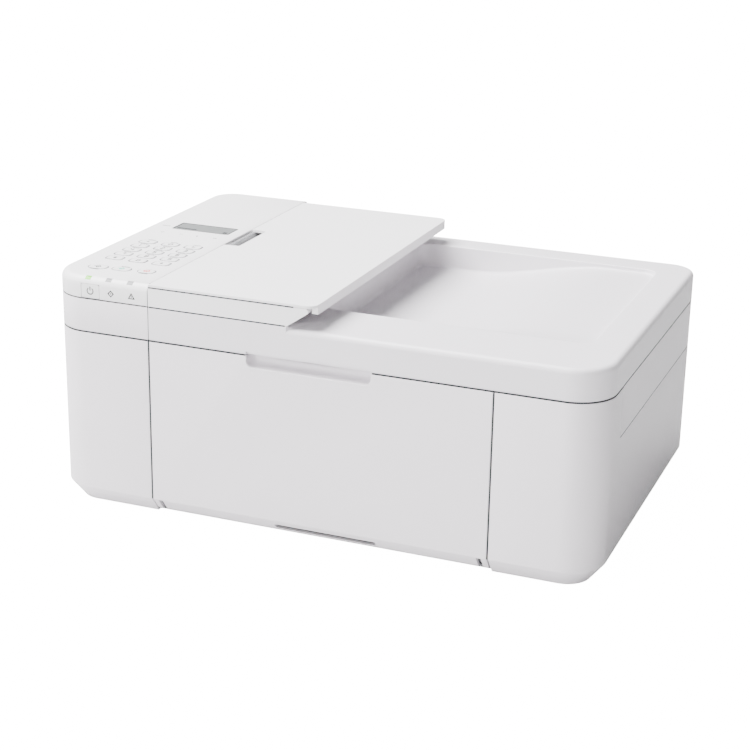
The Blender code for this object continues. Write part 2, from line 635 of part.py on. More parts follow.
def make_electrics():
    supply = block("power_supply", LEFT + 0.0165, TOWER_X - 0.008, 0.030, BACK - 0.0155,
                   PAN_TOP + 0.0014, 0.056)
    cut(supply, block("inlet_relief", INLET_X - INLET_HALF - 0.001, INLET_X + INLET_HALF + 0.001,
                      BACK - 0.020, BACK, INLET_Z - 0.001, INLET_Z + INLET_HIGH + 0.001))
    finish(supply, "dark_grey")

    inlet = block("ac_inlet", INLET_X - INLET_HALF, INLET_X + INLET_HALF, BACK - 0.0195,
                  BACK, INLET_Z, INLET_Z + INLET_HIGH)
    middle = INLET_Z + INLET_HIGH / 2
    socket = outline(INLET_X - 0.0085, INLET_X + 0.0085, middle - 0.0055, middle + 0.0055,
                     (0.0054,) * 4, 4)
    cut(inlet, prism("inlet_socket", socket, BACK - 0.014, BACK + 0.01, "Y"))
    for k, way in enumerate((-1, 1)):
        x = INLET_X + way * 0.0043
        join(inlet, cylinder(f"inlet_pin_{k}", "Y", BACK - 0.016, BACK - 0.003, (x, middle),
                             0.0011, 12))
    finish(inlet, "dark_grey")

    usb = block("usb_port", USB_X - USB_HALF, USB_X + USB_HALF, BACK - 0.015, BACK,
                PORT_Z, PORT_Z + USB_HIGH)
    cut(usb, block("usb_socket", USB_X - 0.0043, USB_X + 0.0043, BACK - 0.010, BACK + 0.01,
                   PORT_Z + 0.0018, PORT_Z + USB_HIGH - 0.0018))
    join(usb, block("usb_tongue", USB_X - 0.0028, USB_X + 0.0028, BACK - 0.012, BACK - 0.001,
                    PORT_Z + 0.0045, PORT_Z + 0.0070))
    finish(usb, "steel")

    jacks = block("phone_jacks", PHONE_X - PHONE_HALF, PHONE_X + PHONE_HALF, BACK - 0.015, BACK,
                  PORT_Z, PORT_Z + PHONE_HIGH)
    for k, way in enumerate((-1, 1)):
        x = PHONE_X + way * 0.0070
        cut(jacks, block(f"phone_socket_{k}", x - 0.005, x + 0.005, BACK - 0.012, BACK + 0.01,
                         PORT_Z + 0.002, PORT_Z + PHONE_HIGH - 0.002))
    finish(jacks, "dark_grey")

    board_x = LEFT + WALL + 0.006
    board = block("main_board", board_x, board_x + 0.0016, FRONT + 0.035, 0.020, 0.030, 0.125)
    for k in range(3):
        y = FRONT + 0.060 + k * 0.034
        join(board, block(f"board_chip_{k}", board_x + 0.001, board_x + 0.005, y, y + 0.016,
                          0.060, 0.078))
    finish(board, "board_green")

    unit = block("maintenance_unit", CARRIAGE_X - 0.003, CARRIAGE_X + CARRIAGE_WIDTH,
                 RAIL_FRONT - 0.068, RAIL_FRONT - 0.006, 0.030, CARRIAGE_Z - 0.003)
    for k in range(2):
        start = CARRIAGE_X + 0.006 + k * CARRIAGE_WIDTH / 2
        cut(unit, block(f"cap_well_{k}", start, start + 0.018, RAIL_FRONT - 0.050,
                        RAIL_FRONT - 0.020, CARRIAGE_Z - 0.006, CARRIAGE_Z))
    finish(unit, "dark_grey")


def make_scanner():
    frame = loft("scanner_frame", [(case_outline(0), SCANNER_Z + GAP), (case_outline(0), DECK_TOP)])
    cut(frame, far_box("beside_tower", x1=TOWER_X + GAP))
    cut(frame, far_box("front_space", y1=SCANNER_FRONT, z1=DECK_TOP - 0.0026))
    cut(frame, far_box("front_edge", y1=FRONT + WALL + 2 * GAP))
    handle_x = HANDLE_X
    cut(frame, far_box("handle_space", x0=handle_x - HANDLE_WIDTH / 2 - 0.004,
                       x1=handle_x + HANDLE_WIDTH / 2 + 0.004, y1=FRONT + HANDLE_DEPTH + 0.0035))
    column = far_box("column_space", x0=COVER_X, y1=SIDE_SEAM_Y + GAP)
    cut(column, loft("column_inside", [(case_outline(WALL + GAP), 0.05),
                                       (case_outline(WALL + GAP), TOP_Z)]))
    cut(frame, column)
    hollow = prism("scanner_hollow", outline(TOWER_X + 0.0035, RIGHT - 0.006,
                                             SCANNER_FRONT + 0.003, BACK - 0.006,
                                             (0.001, 0.020, 0.016, 0.001), 4),
                   SCANNER_Z + 0.0028, GLASS_UNDER - 0.0008)
    cut(frame, hollow)
    for name, (x0, x1) in (("platen_glass", GLASS_X), ("adf_glass", STRIP_X)):
        cut(frame, block(name + "_rebate", x0 - GAP, x1 + GAP, GLASS_Y[0] - GAP,
                         GLASS_Y[1] + GAP, GLASS_UNDER - GAP, TOP_Z))
        cut(frame, block(name + "_window", x0 + 0.003, x1 - 0.003, GLASS_Y[0] + 0.003,
                         GLASS_Y[1] - 0.003, SCANNER_Z + 0.020, TOP_Z))
        pane = block(name, x0, x1, *GLASS_Y, GLASS_UNDER, DECK_TOP)
        finish(pane, "glass")
    finish(frame, "case_white")

    bar_top = GLASS_UNDER - 0.0016
    x0, x1 = STRIP_X[0] - 0.0015, STRIP_X[1] + 0.0015
    bar = block("scan_carriage", x0, x1, GLASS_Y[0] - 0.001, GLASS_Y[1] + 0.001,
                bar_top - 0.013, bar_top)
    join(bar, block("bar_bearing", x0, x1, -0.008, 0.008, SCAN_ROD_Z - 0.005, bar_top - 0.010))
    cut(bar, cylinder("bar_bore", "X", x0 - 0.01, x1 + 0.01, (0, SCAN_ROD_Z),
                      SHAFT_RADIUS + GAP, 16))
    finish(bar, "dark_grey", ((x0 + x1) / 2, 0, SCAN_ROD_Z))
    rod = cylinder("scan_rod", "X", TOWER_X + 0.0035 + GAP, RIGHT - 0.006 - GAP,
                   (0, SCAN_ROD_Z), SHAFT_RADIUS, 16)
    finish(rod, "steel")


def recess_floor(x, y):
    """Height of the output tray's floor: a valley by the feeder that rises to the right and front."""
    along = min(max((x - TOWER_X - 0.167) / 0.115, 0), 1)
    rise = along * along * (3 - 2 * along)
    side = LID_FLOOR_Z + (RIM_Z - 0.0012 - LID_FLOOR_Z) * rise
    near = min(max((RECESS_FRONT + 0.034 - y) / 0.034, 0), 1)
    return side + (RIM_Z + 0.0002 - side) * near ** 1.8


def recess_outline(grow):
    corner = RECESS_CORNER + grow
    return outline(RECESS_LEFT - grow, RECESS_RIGHT + grow, RECESS_FRONT - grow,
                   RECESS_BACK + grow, (corner,) * 4, 3)


def recess_cutter(name, grow, drop):
    """The space above the output floor, its outline grown and its floor dropped by a wall."""
    floor = LID_FLOOR_Z - 0.001
    cutter = prism(name, recess_outline(grow), floor, TOP_Z + 0.01)
    work = bmesh.new()
    work.from_mesh(cutter.data)
    for k in range(1, 12):
        x = RECESS_LEFT + (RECESS_RIGHT - RECESS_LEFT) * k / 12
        everything = work.verts[:] + work.edges[:] + work.faces[:]
        bmesh.ops.bisect_plane(work, geom=everything, plane_co=(x, 0, 0), plane_no=(1, 0, 0))
    for y in (0.006, 0.013, 0.020, 0.027, 0.034):
        everything = work.verts[:] + work.edges[:] + work.faces[:]
        bmesh.ops.bisect_plane(work, geom=everything, plane_co=(0, RECESS_FRONT + y, 0),
                               plane_no=(0, 1, 0))
    for vert in work.verts:
        if vert.co.z < floor + 0.0005:
            vert.co.z = recess_floor(vert.co.x, vert.co.y) - drop
    bmesh.ops.triangulate(work, faces=work.faces)
    work.to_mesh(cutter.data)
    work.free()
    return cutter


def lid_outline(inset, left_inset=0.0):
    front = max(FRONT_RADIUS - inset, 0.002)
    rear = max(REAR_RADIUS - inset, 0.002)
    return outline(TOWER_X + GAP + left_inset, RIGHT - inset, FRONT + inset, BACK - inset,
                   (0, front, rear, 0), 6)


def make_lid():
    axis_y, axis_z = LID_AXIS
    rounding = 0.004
    rings = [(lid_outline(0), DECK_Z + GAP)]
    for k in range(4):
        angle = math.radians(90 * k / 3)
        rings.append((lid_outline(rounding * (1 - math.cos(angle))),
                      RIM_Z - rounding + rounding * math.sin(angle)))
    lid = loft("scanner_lid", rings)
    plateau = block("feeder_seat", TOWER_X + GAP, TOWER_X + 0.112, FRONT, FEEDER_BACK,
                    DECK_Z + 0.010, FASCIA_Z - GAP)
    join(lid, plateau)
    hollow = loft("lid_hollow", [
        (lid_outline(WALL, WALL), DECK_Z - 0.003),
        (lid_outline(WALL, WALL), RIM_Z - WALL),
    ])
    cut(hollow, prism("recess_wall", recess_outline(WALL), 0, TOP_Z))
    for side, x in zip(("left", "right"), HINGE_X):
        cut(hollow, block(f"{side}_hinge_wall", x - 0.013, x + 0.013, BACK - 0.020, BACK,
                          0, TOP_Z))
    cut(hollow, block("well_wall", WELL_X[0] - WALL, WELL_X[1] + WALL, -WELL_Y - WALL,
                      WELL_Y + WALL, 0, TOP_Z))
    cut(lid, hollow)
    cut(lid, prism("recess", recess_outline(0), 0, TOP_Z + 0.01))
    cut(lid, block("feeder_well", WELL_X[0], WELL_X[1], -WELL_Y, WELL_Y, 0, TOP_Z))
    round_edge = block("rear_corner", TOWER_X - 0.01, RIGHT + 0.01, axis_y, BACK + 0.01,
                       DECK_Z - 0.005, axis_z)
    cut(round_edge, cylinder("rear_round", "X", TOWER_X - 0.02, RIGHT + 0.02, LID_AXIS,
                             0.006, 48))
    cut(lid, round_edge)
    for side, x in zip(("left", "right"), HINGE_X):
        cut(lid, block(f"{side}_hinge_pocket", x - 0.0085, x + 0.0085, axis_y - 0.0065,
                       BACK + 0.01, DECK_Z - 0.01, axis_z + 0.0065))
        cut(lid, cylinder(f"{side}_hinge_bore", "X", x - 0.0115, x + 0.0115, LID_AXIS,
                          0.002 + GAP, 16))
        knuckle = cylinder(f"lid_hinge_{side}", "X", x - 0.008, x + 0.008, LID_AXIS, 0.005, 24)
        join(knuckle, block(f"{side}_hinge_stem", x - 0.008, x + 0.008, axis_y - 0.003,
                            axis_y + 0.003, DECK_Z, axis_z))
        join(knuckle, cylinder(f"{side}_hinge_pin", "X", x - 0.011, x + 0.011, LID_AXIS,
                               0.002, 16))
        finish(knuckle, "inner_grey")
    cut(lid, block("sheet_space", GLASS_X[0] + 0.002, GLASS_X[1] - 0.002, GLASS_Y[0] + 0.001,
                   GLASS_Y[1] - 0.001, 0, LID_FLOOR_Z - WALL - GAP))
    finish(lid, "lid_white", (PATH_X, *LID_AXIS))

    floor = prism("output_floor", recess_outline(-GAP), DECK_Z, RIM_Z + 0.0001)
    keep_inside(floor, recess_cutter("floor_under", 0.002, WALL))
    cut(floor, recess_cutter("floor_over", 0.004, 0))
    finish(floor, "lid_white")

    sheet = block("pressure_sheet", GLASS_X[0] + 0.003, GLASS_X[1] - 0.003, GLASS_Y[0] + 0.002,
                  GLASS_Y[1] - 0.002, DECK_TOP + GAP, LID_FLOOR_Z - WALL - 2 * GAP)
    finish(sheet, "foam_white")


def make_feeder_frame():
    left = TOWER_X + GAP
    top = TRAY_Z - GAP
    profile = [
        (left, FASCIA_Z), (TOWER_X + 0.113, FASCIA_Z),
        (TOWER_X + FEEDER_REACH - 0.008, top), (left, top),
    ]
    frame = prism("adf_frame", profile, FRONT, FEEDER_BACK, "Y")
    rounding = prism("feeder_corners", outline(left - 0.1, TOWER_X + FEEDER_REACH - 0.004,
                                               FRONT, FEEDER_BACK, (0, 0.008, 0.008, 0), 4),
                     DECK_Z, TOP_Z + 0.01)
    keep_inside(frame, rounding)
    cut(frame, block("feeder_hollow", left + 0.0022, RIGHT, FRONT + FEEDER_SIDE,
                     FEEDER_BACK - FEEDER_SIDE, FEEDER_FLOOR, TOP_Z + 0.01))
    well = block("well_tub", WELL_X[0] + GAP, WELL_X[1] - GAP, -WELL_Y + GAP, WELL_Y - GAP,
                 DECK_Z + 0.0018, FEEDER_FLOOR - 0.0005)
    join(frame, well)
    cut(frame, block("well_hollow", WELL_X[0] + 0.002, WELL_X[1] - 0.002, -WELL_Y + 0.0025,
                     WELL_Y - 0.0025, DECK_Z + 0.0035, TOP_Z + 0.01))
    cut(frame, block("reading_slot", STRIP_X[0] + 0.002, STRIP_X[1] - 0.002,
                     GLASS_Y[0] + 0.004, GLASS_Y[1] - 0.004, DECK_Z - 0.01, TOP_Z))
    cut(frame, cylinder("feeder_bearings", "Y", -WELL_Y - 0.01, WELL_Y + 0.01,
                        FEED_ROLLER_AXIS, SHAFT_RADIUS + GAP, 16))
    bed = block("document_bed", BED_X[0], BED_X[1], FRONT + FEEDER_SIDE - 0.001,
                FEEDER_BACK - FEEDER_SIDE + 0.001, BED_TOP - 0.0015, BED_TOP)
    join(frame, bed)
    tray_x, tray_z = TRAY_AXIS
    for name, y, way in (("front_ear", FRONT + FEEDER_SIDE, 1),
                         ("rear_ear", FEEDER_BACK - FEEDER_SIDE, -1)):
        near, far = y - way * 0.001, y + way * 0.0025
        ear = block(name, tray_x - 0.022, tray_x, min(near, far), max(near, far),
                    tray_z - TRAY_EAR, tray_z + TRAY_EAR)
        join(ear, cylinder(name + "_end", "Y", min(near, far), max(near, far),
                           TRAY_AXIS, TRAY_EAR, 16))
        cut(ear, cylinder(name + "_hole", "Y", min(near, far) - 0.002, max(near, far) + 0.002,
                          TRAY_AXIS, 0.0011 + GAP, 12))
        join(frame, ear)
        hinge_near, hinge_far = y - way * 0.001, -way * (COVER_HALF + 0.0008)
        post = block(name + "_cover_post", COVER_HINGE[0] - 0.0024, COVER_HINGE[0] + 0.0024,
                     min(hinge_near, hinge_far), max(hinge_near, hinge_far),
                     FEEDER_FLOOR - 0.0005, COVER_HINGE[1] + COVER_BARREL)
        join(frame, post)
    cut(frame, cylinder("cover_hinge_hole", "Y", -COVER_HALF - 0.004, COVER_HALF + 0.004,
                        COVER_HINGE, 0.0011 + GAP, 12))
    finish(frame, "lid_white", (PATH_X, *LID_AXIS))


def make_feeder_cover():
    hinge_x, hinge_z = COVER_HINGE
    x1 = BED_X[0] - 0.004
    low = FEEDER_FLOOR + 0.0005
    cover = block("feeder_cover", hinge_x, x1, -COVER_HALF, COVER_HALF, low, COVER_TOP)
    join(cover, cylinder("cover_barrel", "Y", -COVER_HALF, COVER_HALF, COVER_HINGE,
                         COVER_BARREL, 24))
    cut(cover, block("cover_hollow", hinge_x + COVER_BARREL + 0.0004, x1 - 0.0012,
                     -COVER_HALF + 0.0015, COVER_HALF - 0.0015, 0, COVER_TOP - 0.0012))
    cut(cover, block("cover_mouth", x1 - 0.01, x1 + 0.01, -COVER_HALF + 0.0015,
                     COVER_HALF - 0.0015, 0, FEEDER_FLOOR + 0.0060))
    join(cover, cylinder("cover_hinge_pins", "Y", -COVER_HALF - 0.003, COVER_HALF + 0.003,
                         COVER_HINGE, 0.0011, 12))
    roll_x, roll_z = PICK_ROLLER_AXIS
    for name, y in (("front_hanger", -0.0165), ("rear_hanger", 0.0145)):
        hanger = block(name, roll_x - 0.003, roll_x + 0.003, y, y + 0.002,
                       roll_z - 0.003, COVER_TOP - 0.001)
        cut(hanger, cylinder(name + "_hole", "Y", y - 0.001, y + 0.003, PICK_ROLLER_AXIS,
                             0.0015 + GAP, 12))
        join(cover, hanger)
    finish(cover, "inner_grey", (hinge_x, 0, hinge_z))

    drum = cylinder("adf_feed_roller", "Y", -WELL_Y + 0.010, WELL_Y - 0.010, FEED_ROLLER_AXIS,
                    FEEDER_ROLLER_RADIUS, 24)
    join(drum, cylinder("feeder_shaft", "Y", -WELL_Y + 0.0008, WELL_Y - 0.0008,
                        FEED_ROLLER_AXIS, SHAFT_RADIUS, 16))
    finish(drum, "rubber", (FEED_ROLLER_AXIS[0], 0, FEED_ROLLER_AXIS[1]))
    pick = cylinder("adf_pick_roller", "Y", -0.012, 0.012, PICK_ROLLER_AXIS,
                    PICK_ROLLER_RADIUS, 20)
    join(pick, cylinder("pick_shaft", "Y", -0.0163, 0.0163, PICK_ROLLER_AXIS, 0.0015, 12))
    finish(pick, "rubber", (PICK_ROLLER_AXIS[0], 0, PICK_ROLLER_AXIS[1]))


def make_document_tray():
    left = TOWER_X + 0.0007
    right = TOWER_X + FEEDER_REACH + 0.0009
    shape = outline(left, right, FRONT, FEEDER_BACK, (0, 0.008, 0.008, 0), 6)
    tray = prism("document_tray", shape, TOP_Z - TRAY_STRIP, TOP_Z)
    far, strip = right + 0.01, right - 0.0050
    front, rear = FRONT + 0.0062, FEEDER_BACK - 0.0062
    under = [(left - 0.01, FRONT - 0.01), (far, FRONT - 0.01), (far, front), (strip, front),
             (strip, rear), (far, rear), (far, BACK + 0.01), (left - 0.01, BACK + 0.01)]
    cut(tray, prism("under_tray", under, 0, TRAY_Z))
    notch = [(left - 0.01, -0.0226), (TOWER_X + 0.0134, -0.020), (TOWER_X + 0.0136, 0.0296),
             (left - 0.01, 0.0342)]
    cut(tray, prism("finger_notch", notch, 0.15, TOP_Z + 0.01))
    tray_x, tray_z = TRAY_AXIS
    for name, y, way in (("front_lug", FRONT + FEEDER_SIDE + 0.0028, 1),
                         ("rear_lug", FEEDER_BACK - FEEDER_SIDE - 0.0028, -1)):
        far = y + way * 0.003
        lug = block(name, tray_x - 0.0018, tray_x + 0.0018, min(y, far), max(y, far),
                    tray_z, TRAY_Z + 0.0009)
        join(lug, cylinder(name + "_end", "Y", min(y, far), max(y, far), TRAY_AXIS, 0.0018, 16))
        tip = y - way * 0.0024
        join(lug, cylinder(name + "_pin", "Y", min(tip, far), max(tip, far), TRAY_AXIS,
                           0.0011, 12))
        join(tray, lug)
    finish(tray, "lid_white", (tray_x, 0, tray_z))

    bed = BED_TOP + GAP
    middle_y = (FRONT + FEEDER_BACK) / 2
    for name, way in (("document_guide_front", -1), ("document_guide_rear", 1)):
        y = middle_y + way * (PAPER_WIDTH / 2 + 0.0005)
        far = y + way * 0.0018
        foot = y - way * 0.010
        guide = block(name, BED_X[0] + 0.012, BED_X[1] - 0.024, min(y, far), max(y, far), bed,
                      TRAY_Z - 0.0016)
        join(guide, block(name + "_foot", BED_X[0] + 0.014, BED_X[1] - 0.028, min(far, foot),
                          max(far, foot), bed, bed + 0.0012))
        finish(guide, "inner_grey", ((BED_X[0] + BED_X[1]) / 2, y, bed))


# Panel: the keys' columns run front to back, the display lies behind them.


def panel_outline(inset, right_inset=0.0):
    front = max(FRONT_RADIUS - inset, 0.002)
    rear = max(REAR_RADIUS - inset, 0.002)
    return outline(LEFT + inset, TOWER_X - GAP - right_inset, FRONT + inset, BACK - inset,
                   (front, 0, 0, rear), 6)


def panel_form(name, inset, low, top):
    """The panel's outer form, or its hollow one wall smaller, with a rounded top edge."""
    rounding = PANEL_EDGE
    rings = [(panel_outline(inset, inset), low)]
    for k in range(5):
        angle = math.radians(90 * k / 4)
        rings.append((panel_outline(inset + rounding * (1 - math.cos(angle)), inset),
                      top - rounding + rounding * math.sin(angle)))
    return loft(name, rings)


def key_cap(name, x, y, width, depth, low, high, grow=0.0):
    radius = min(width, depth) * 0.3
    shape = outline(x - width / 2 - grow, x + width / 2 + grow, y - depth / 2 - grow,
                    y + depth / 2 + grow, (radius,) * 4, 2)
    return prism(name, shape, low, high)


def keypad_places():
    places = []
    for row in range(5):
        for column in range(3):
            x = LEFT_COLUMN_X + column * COLUMN_PITCH
            places.append((x, NUMBER_ROW_Y + row * KEY_PITCH_Y))
    return places


def make_panel():
    base = loft("panel_base", [(panel_outline(0), DECK_Z + GAP), (panel_outline(0), FASCIA_Z - GAP)])
    cut(base, loft("panel_base_hollow", [(panel_outline(WALL, WALL), DECK_Z - 0.01),
                                         (panel_outline(WALL, WALL), FASCIA_Z + 0.01)]))
    finish(base, "case_white")

    shell = panel_form("panel_shell", 0, FASCIA_Z, PANEL_TOP)
    cut(shell, panel_form("panel_hollow", 0.0022, FASCIA_Z - 0.01, PANEL_UNDER))
    cut(shell, block("display_hole", DISPLAY_X[0] - GAP, DISPLAY_X[1] + GAP, DISPLAY_Y[0] - GAP,
                     DISPLAY_Y[1] + GAP, FASCIA_Z, TOP_Z + 0.01))
    for name, (x, y, width) in START_KEYS.items():
        cut(shell, key_cap(name + "_hole", x, y, width, START_KEY_DEPTH, FASCIA_Z + 0.008,
                           TOP_Z + 0.01, GAP))
        key = key_cap(name, x, y, width, START_KEY_DEPTH, PANEL_UNDER - 0.003, PANEL_TOP + 0.0004)
        flange = key_cap(name + "_flange", x, y, width + 0.0012, START_KEY_DEPTH + 0.0012,
                         PANEL_UNDER - 0.003, PANEL_UNDER - GAP)
        join(key, flange)
        finish(key, "light_key", (x, y, PANEL_TOP))
    mat_top = PANEL_UNDER - GAP
    half_key = KEY_SIZE[0] / 2
    keypad = block("keypad", LEFT_COLUMN_X - half_key - 0.001,
                   LEFT_COLUMN_X + 2 * COLUMN_PITCH + half_key + 0.001,
                   NUMBER_ROW_Y - 0.006, NUMBER_ROW_Y + 4 * KEY_PITCH_Y + 0.006,
                   mat_top - 0.001, mat_top)
    for k, (x, y) in enumerate(keypad_places()):
        cut(shell, key_cap(f"key_hole_{k}", x, y, *KEY_SIZE, FASCIA_Z + 0.008, TOP_Z + 0.01, GAP))
        join(keypad, key_cap(f"key_cap_{k}", x, y, *KEY_SIZE, mat_top - 0.0005,
                             PANEL_TOP + 0.0004))
    finish(keypad, "light_key", (LEFT_COLUMN_X + COLUMN_PITCH, NUMBER_ROW_Y, PANEL_TOP))
    cut(shell, block("power_hole", POWER_X[0] - GAP, POWER_X[1] + GAP, FRONT - 0.01,
                     FRONT + 0.010, POWER_Z[0] - GAP, POWER_Z[1] + GAP))
    finish(shell, "lid_white")

    display = block("lcd_window", *DISPLAY_X, *DISPLAY_Y, PANEL_UNDER - 0.001, PANEL_TOP - 0.0002)
    finish(display, "display")

    button = prism("power_button", outline(*POWER_X, *POWER_Z, (0.0012,) * 4, 2),
                   FRONT, FRONT + 0.008, "Y")
    finish(button, "light_key", (sum(POWER_X) / 2, FRONT, sum(POWER_Z) / 2))


make_cases()
make_base_pan()
make_feet()
make_front_cover()
make_trays()
make_output_cover()
make_chassis()
make_rollers()
make_print_platen()
make_carriage()
make_electrics()
make_scanner()
make_lid()
make_feeder_frame()
make_feeder_cover()
make_document_tray()
make_panel()
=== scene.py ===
"""A white desktop inkjet printer with a flatbed scanner and a sheet feeder, dressed over its frame.

Metres, +X right seen from the front, -Y towards the reader of the keys, +Z up.
"""
import math

import bmesh
import bpy
import numpy as np
from mathutils import Matrix, Vector


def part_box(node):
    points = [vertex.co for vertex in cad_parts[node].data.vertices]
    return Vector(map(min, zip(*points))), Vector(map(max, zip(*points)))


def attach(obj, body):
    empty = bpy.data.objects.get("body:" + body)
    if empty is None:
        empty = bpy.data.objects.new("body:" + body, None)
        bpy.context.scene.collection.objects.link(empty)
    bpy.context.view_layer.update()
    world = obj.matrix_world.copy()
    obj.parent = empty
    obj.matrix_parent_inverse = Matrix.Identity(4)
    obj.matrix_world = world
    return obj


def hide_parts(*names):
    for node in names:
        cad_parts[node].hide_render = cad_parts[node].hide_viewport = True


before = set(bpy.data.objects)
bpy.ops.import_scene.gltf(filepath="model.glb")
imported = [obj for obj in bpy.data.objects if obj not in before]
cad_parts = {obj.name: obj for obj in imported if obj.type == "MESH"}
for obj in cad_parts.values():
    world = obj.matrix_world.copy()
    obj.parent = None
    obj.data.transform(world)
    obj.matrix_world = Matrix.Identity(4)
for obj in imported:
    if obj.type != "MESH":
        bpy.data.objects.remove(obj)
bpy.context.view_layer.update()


# --- Rubber feet -----------------------------------------------------------------------------
# Four moulded rubber pads pressed into the base. The rubber is matt and nearly black, with a
# faint bloom of dust that makes it greyer in patches.
def linear(colour):
    """Linear RGBA of an sRGB hex colour: ((c + 0.055) / 1.055) ** 2.4 above the toe."""
    parts = [int(colour[k:k + 2], 16) / 255 for k in (1, 3, 5)]
    return [c / 12.92 if c <= 0.04045 else ((c + 0.055) / 1.055) ** 2.4 for c in parts] + [1.0]


def add_node(material, kind, settings=None, **links):
    """Adds a shader node: settings are its sockets or properties, links feed sockets by name."""
    tree = material.node_tree
    node = tree.nodes.new(kind)
    for key, value in (settings or {}).items():
        if isinstance(key, str) and hasattr(node, key):
            setattr(node, key, value)
        else:
            node.inputs[key].default_value = value
    for key, source in links.items():
        socket = int(key[1:]) if key[0] == "n" and key[1:].isdigit() else key.replace("_", " ")
        tree.links.new(source, node.inputs[socket])
    return node


def new_material(name):
    """An empty node material with its Principled shader, which already feeds the output."""
    material = bpy.data.materials.new(name)
    material.use_nodes = True
    return material, material.node_tree.nodes["Principled BSDF"]


def feed(material, source, node, socket):
    material.node_tree.links.new(source, node.inputs[socket])


def mottled(name, pale, deep, patch, grain, roughness, spread, relief, specular=0.5):
    """A moulded surface. Cloudy patches of one size in millimetres mix two close colours, and a
    fine grain of another size gives the bump and a little change of roughness."""
    material, shader = new_material(name)
    place = add_node(material, "ShaderNodeTexCoord").outputs["Object"]
    cloud = add_node(material, "ShaderNodeTexNoise", {"Scale": 1000 / patch, "Detail": 3.0},
                     Vector=place)
    colours = add_node(material, "ShaderNodeMix", {"data_type": "RGBA"})
    colours.inputs[6].default_value = linear(deep)
    colours.inputs[7].default_value = linear(pale)
    feed(material, cloud.outputs[0], colours, 0)
    feed(material, colours.outputs[2], shader, "Base Color")
    fine = add_node(material, "ShaderNodeTexNoise",
                    {"Scale": 1000 / grain, "Detail": 2.0, "Roughness": 0.6}, Vector=place)
    sheen = add_node(material, "ShaderNodeMapRange",
                     {"To Min": roughness - spread, "To Max": roughness + spread},
                     Value=fine.outputs[0])
    feed(material, sheen.outputs[0], shader, "Roughness")
    bump = add_node(material, "ShaderNodeBump", {"Strength": 0.5, "Distance": relief},
                    Height=fine.outputs[0])
    feed(material, bump.outputs[0], shader, "Normal")
    shader.inputs["Specular IOR Level"].default_value = specular
    return material


rubber = mottled("moulded_rubber", "#2b2b2b", "#1d1d1e", 6.0, 0.6, 0.8, 0.08, 0.00006, 0.3)


def dress(names, material, edge=0.0):
    """Puts a material on the named parts and, where asked, takes the sharpness off their edges."""
    for name in names:
        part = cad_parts[name]
        for slot in part.material_slots:
            slot.material = material
        if not part.material_slots:
            part.data.materials.append(material)
        if edge > 0:
            join = part.modifiers.new("join", "WELD")
            join.merge_threshold = 0.00001
            soft = part.modifiers.new("soft edge", "BEVEL")
            soft.width = edge
            soft.segments = 2
            soft.limit_method = "ANGLE"
            soft.angle_limit = math.radians(38)
            soft.harden_normals = False
            soft.use_clamp_overlap = True


dress(["foot_front_left", "foot_front_right", "foot_rear_left", "foot_rear_right"], rubber, 0.0006)

# --- Base pan and paper trays ----------------------------------------------------------------
# Injection-moulded polystyrene in a mid grey, with a spark-eroded texture of about 0.3 mm grain
# drawn a little coarser so that it shows. The paper guides slide in it and are darker.
grey_plastic = mottled("spark_textured_polystyrene_grey", "#77777a", "#6b6b6e", 18.0, 0.5,
                       0.55, 0.06, 0.00003)
dark_plastic = mottled("spark_textured_polystyrene_dark", "#38383b", "#2f2f32", 18.0, 0.5,
                       0.5, 0.06, 0.00003)
dress(["base_pan", "input_tray", "output_tray", "tray_extension", "output_cover",
       "lid_hinge_left", "lid_hinge_right"], grey_plastic, 0.0003)
dress(["side_guide_left", "side_guide_right", "front_guide", "print_platen", "maintenance_unit"],
      dark_plastic, 0.0002)

# --- Left case -------------------------------------------------------------------------------
# A tall white ABS shell with a 2.6 mm wall, wrapped round the left end from the front seam to
# the rear one. Its lower edge is bevelled under, and its cut edges have a 0.8 mm round.
white_case = mottled("spark_textured_abs_white", "#e8e3e8", "#e4dfe4", 60.0, 0.6,
                     0.42, 0.05, 0.00002)
LEFT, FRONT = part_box("left_case")[0][:2]
TOWER_X, BACK, CASE_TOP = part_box("left_case")[1]
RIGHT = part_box("right_case")[1][0]
CASE_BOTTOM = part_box("left_case")[0][2]
FRONT_RADIUS = 0.030
REAR_RADIUS = 0.022
WALL = 0.0026
BEVEL_INSET = 0.011
BEVEL_TOP = 0.018
EDGE = 0.0008
SEAM = 0.0003


def rounded_path(corners, radii, steps, closed=True):
    """Points along a polygon whose corners are arcs: centre + radius * (cos a, sin a), with a
    swept evenly from one tangent point to the other."""
    corners = np.asarray(corners, float)
    count = len(corners)
    pieces = []
    for k in range(count):
        here = corners[k]
        radius = radii[k]
        if radius <= 0 or (not closed and k in (0, count - 1)):
            pieces.append(here[None])
            continue
        before = corners[k - 1] - here
        after = corners[(k + 1) % count] - here
        before /= np.linalg.norm(before)
        after /= np.linalg.norm(after)
        half = math.acos(np.clip(before @ after, -1, 1)) / 2
        middle = before + after
        centre = here + middle / np.linalg.norm(middle) * radius / math.sin(half)
        start = here + before * radius / math.tan(half) - centre
        end = here + after * radius / math.tan(half) - centre
        turn = math.atan2(start[0] * end[1] - start[1] * end[0], start @ end)
        a = np.linspace(0, turn, steps + 1)
        pieces.append(centre + np.stack([start[0] * np.cos(a) - start[1] * np.sin(a),
                                         start[0] * np.sin(a) + start[1] * np.cos(a)], 1))
    return np.concatenate(pieces)


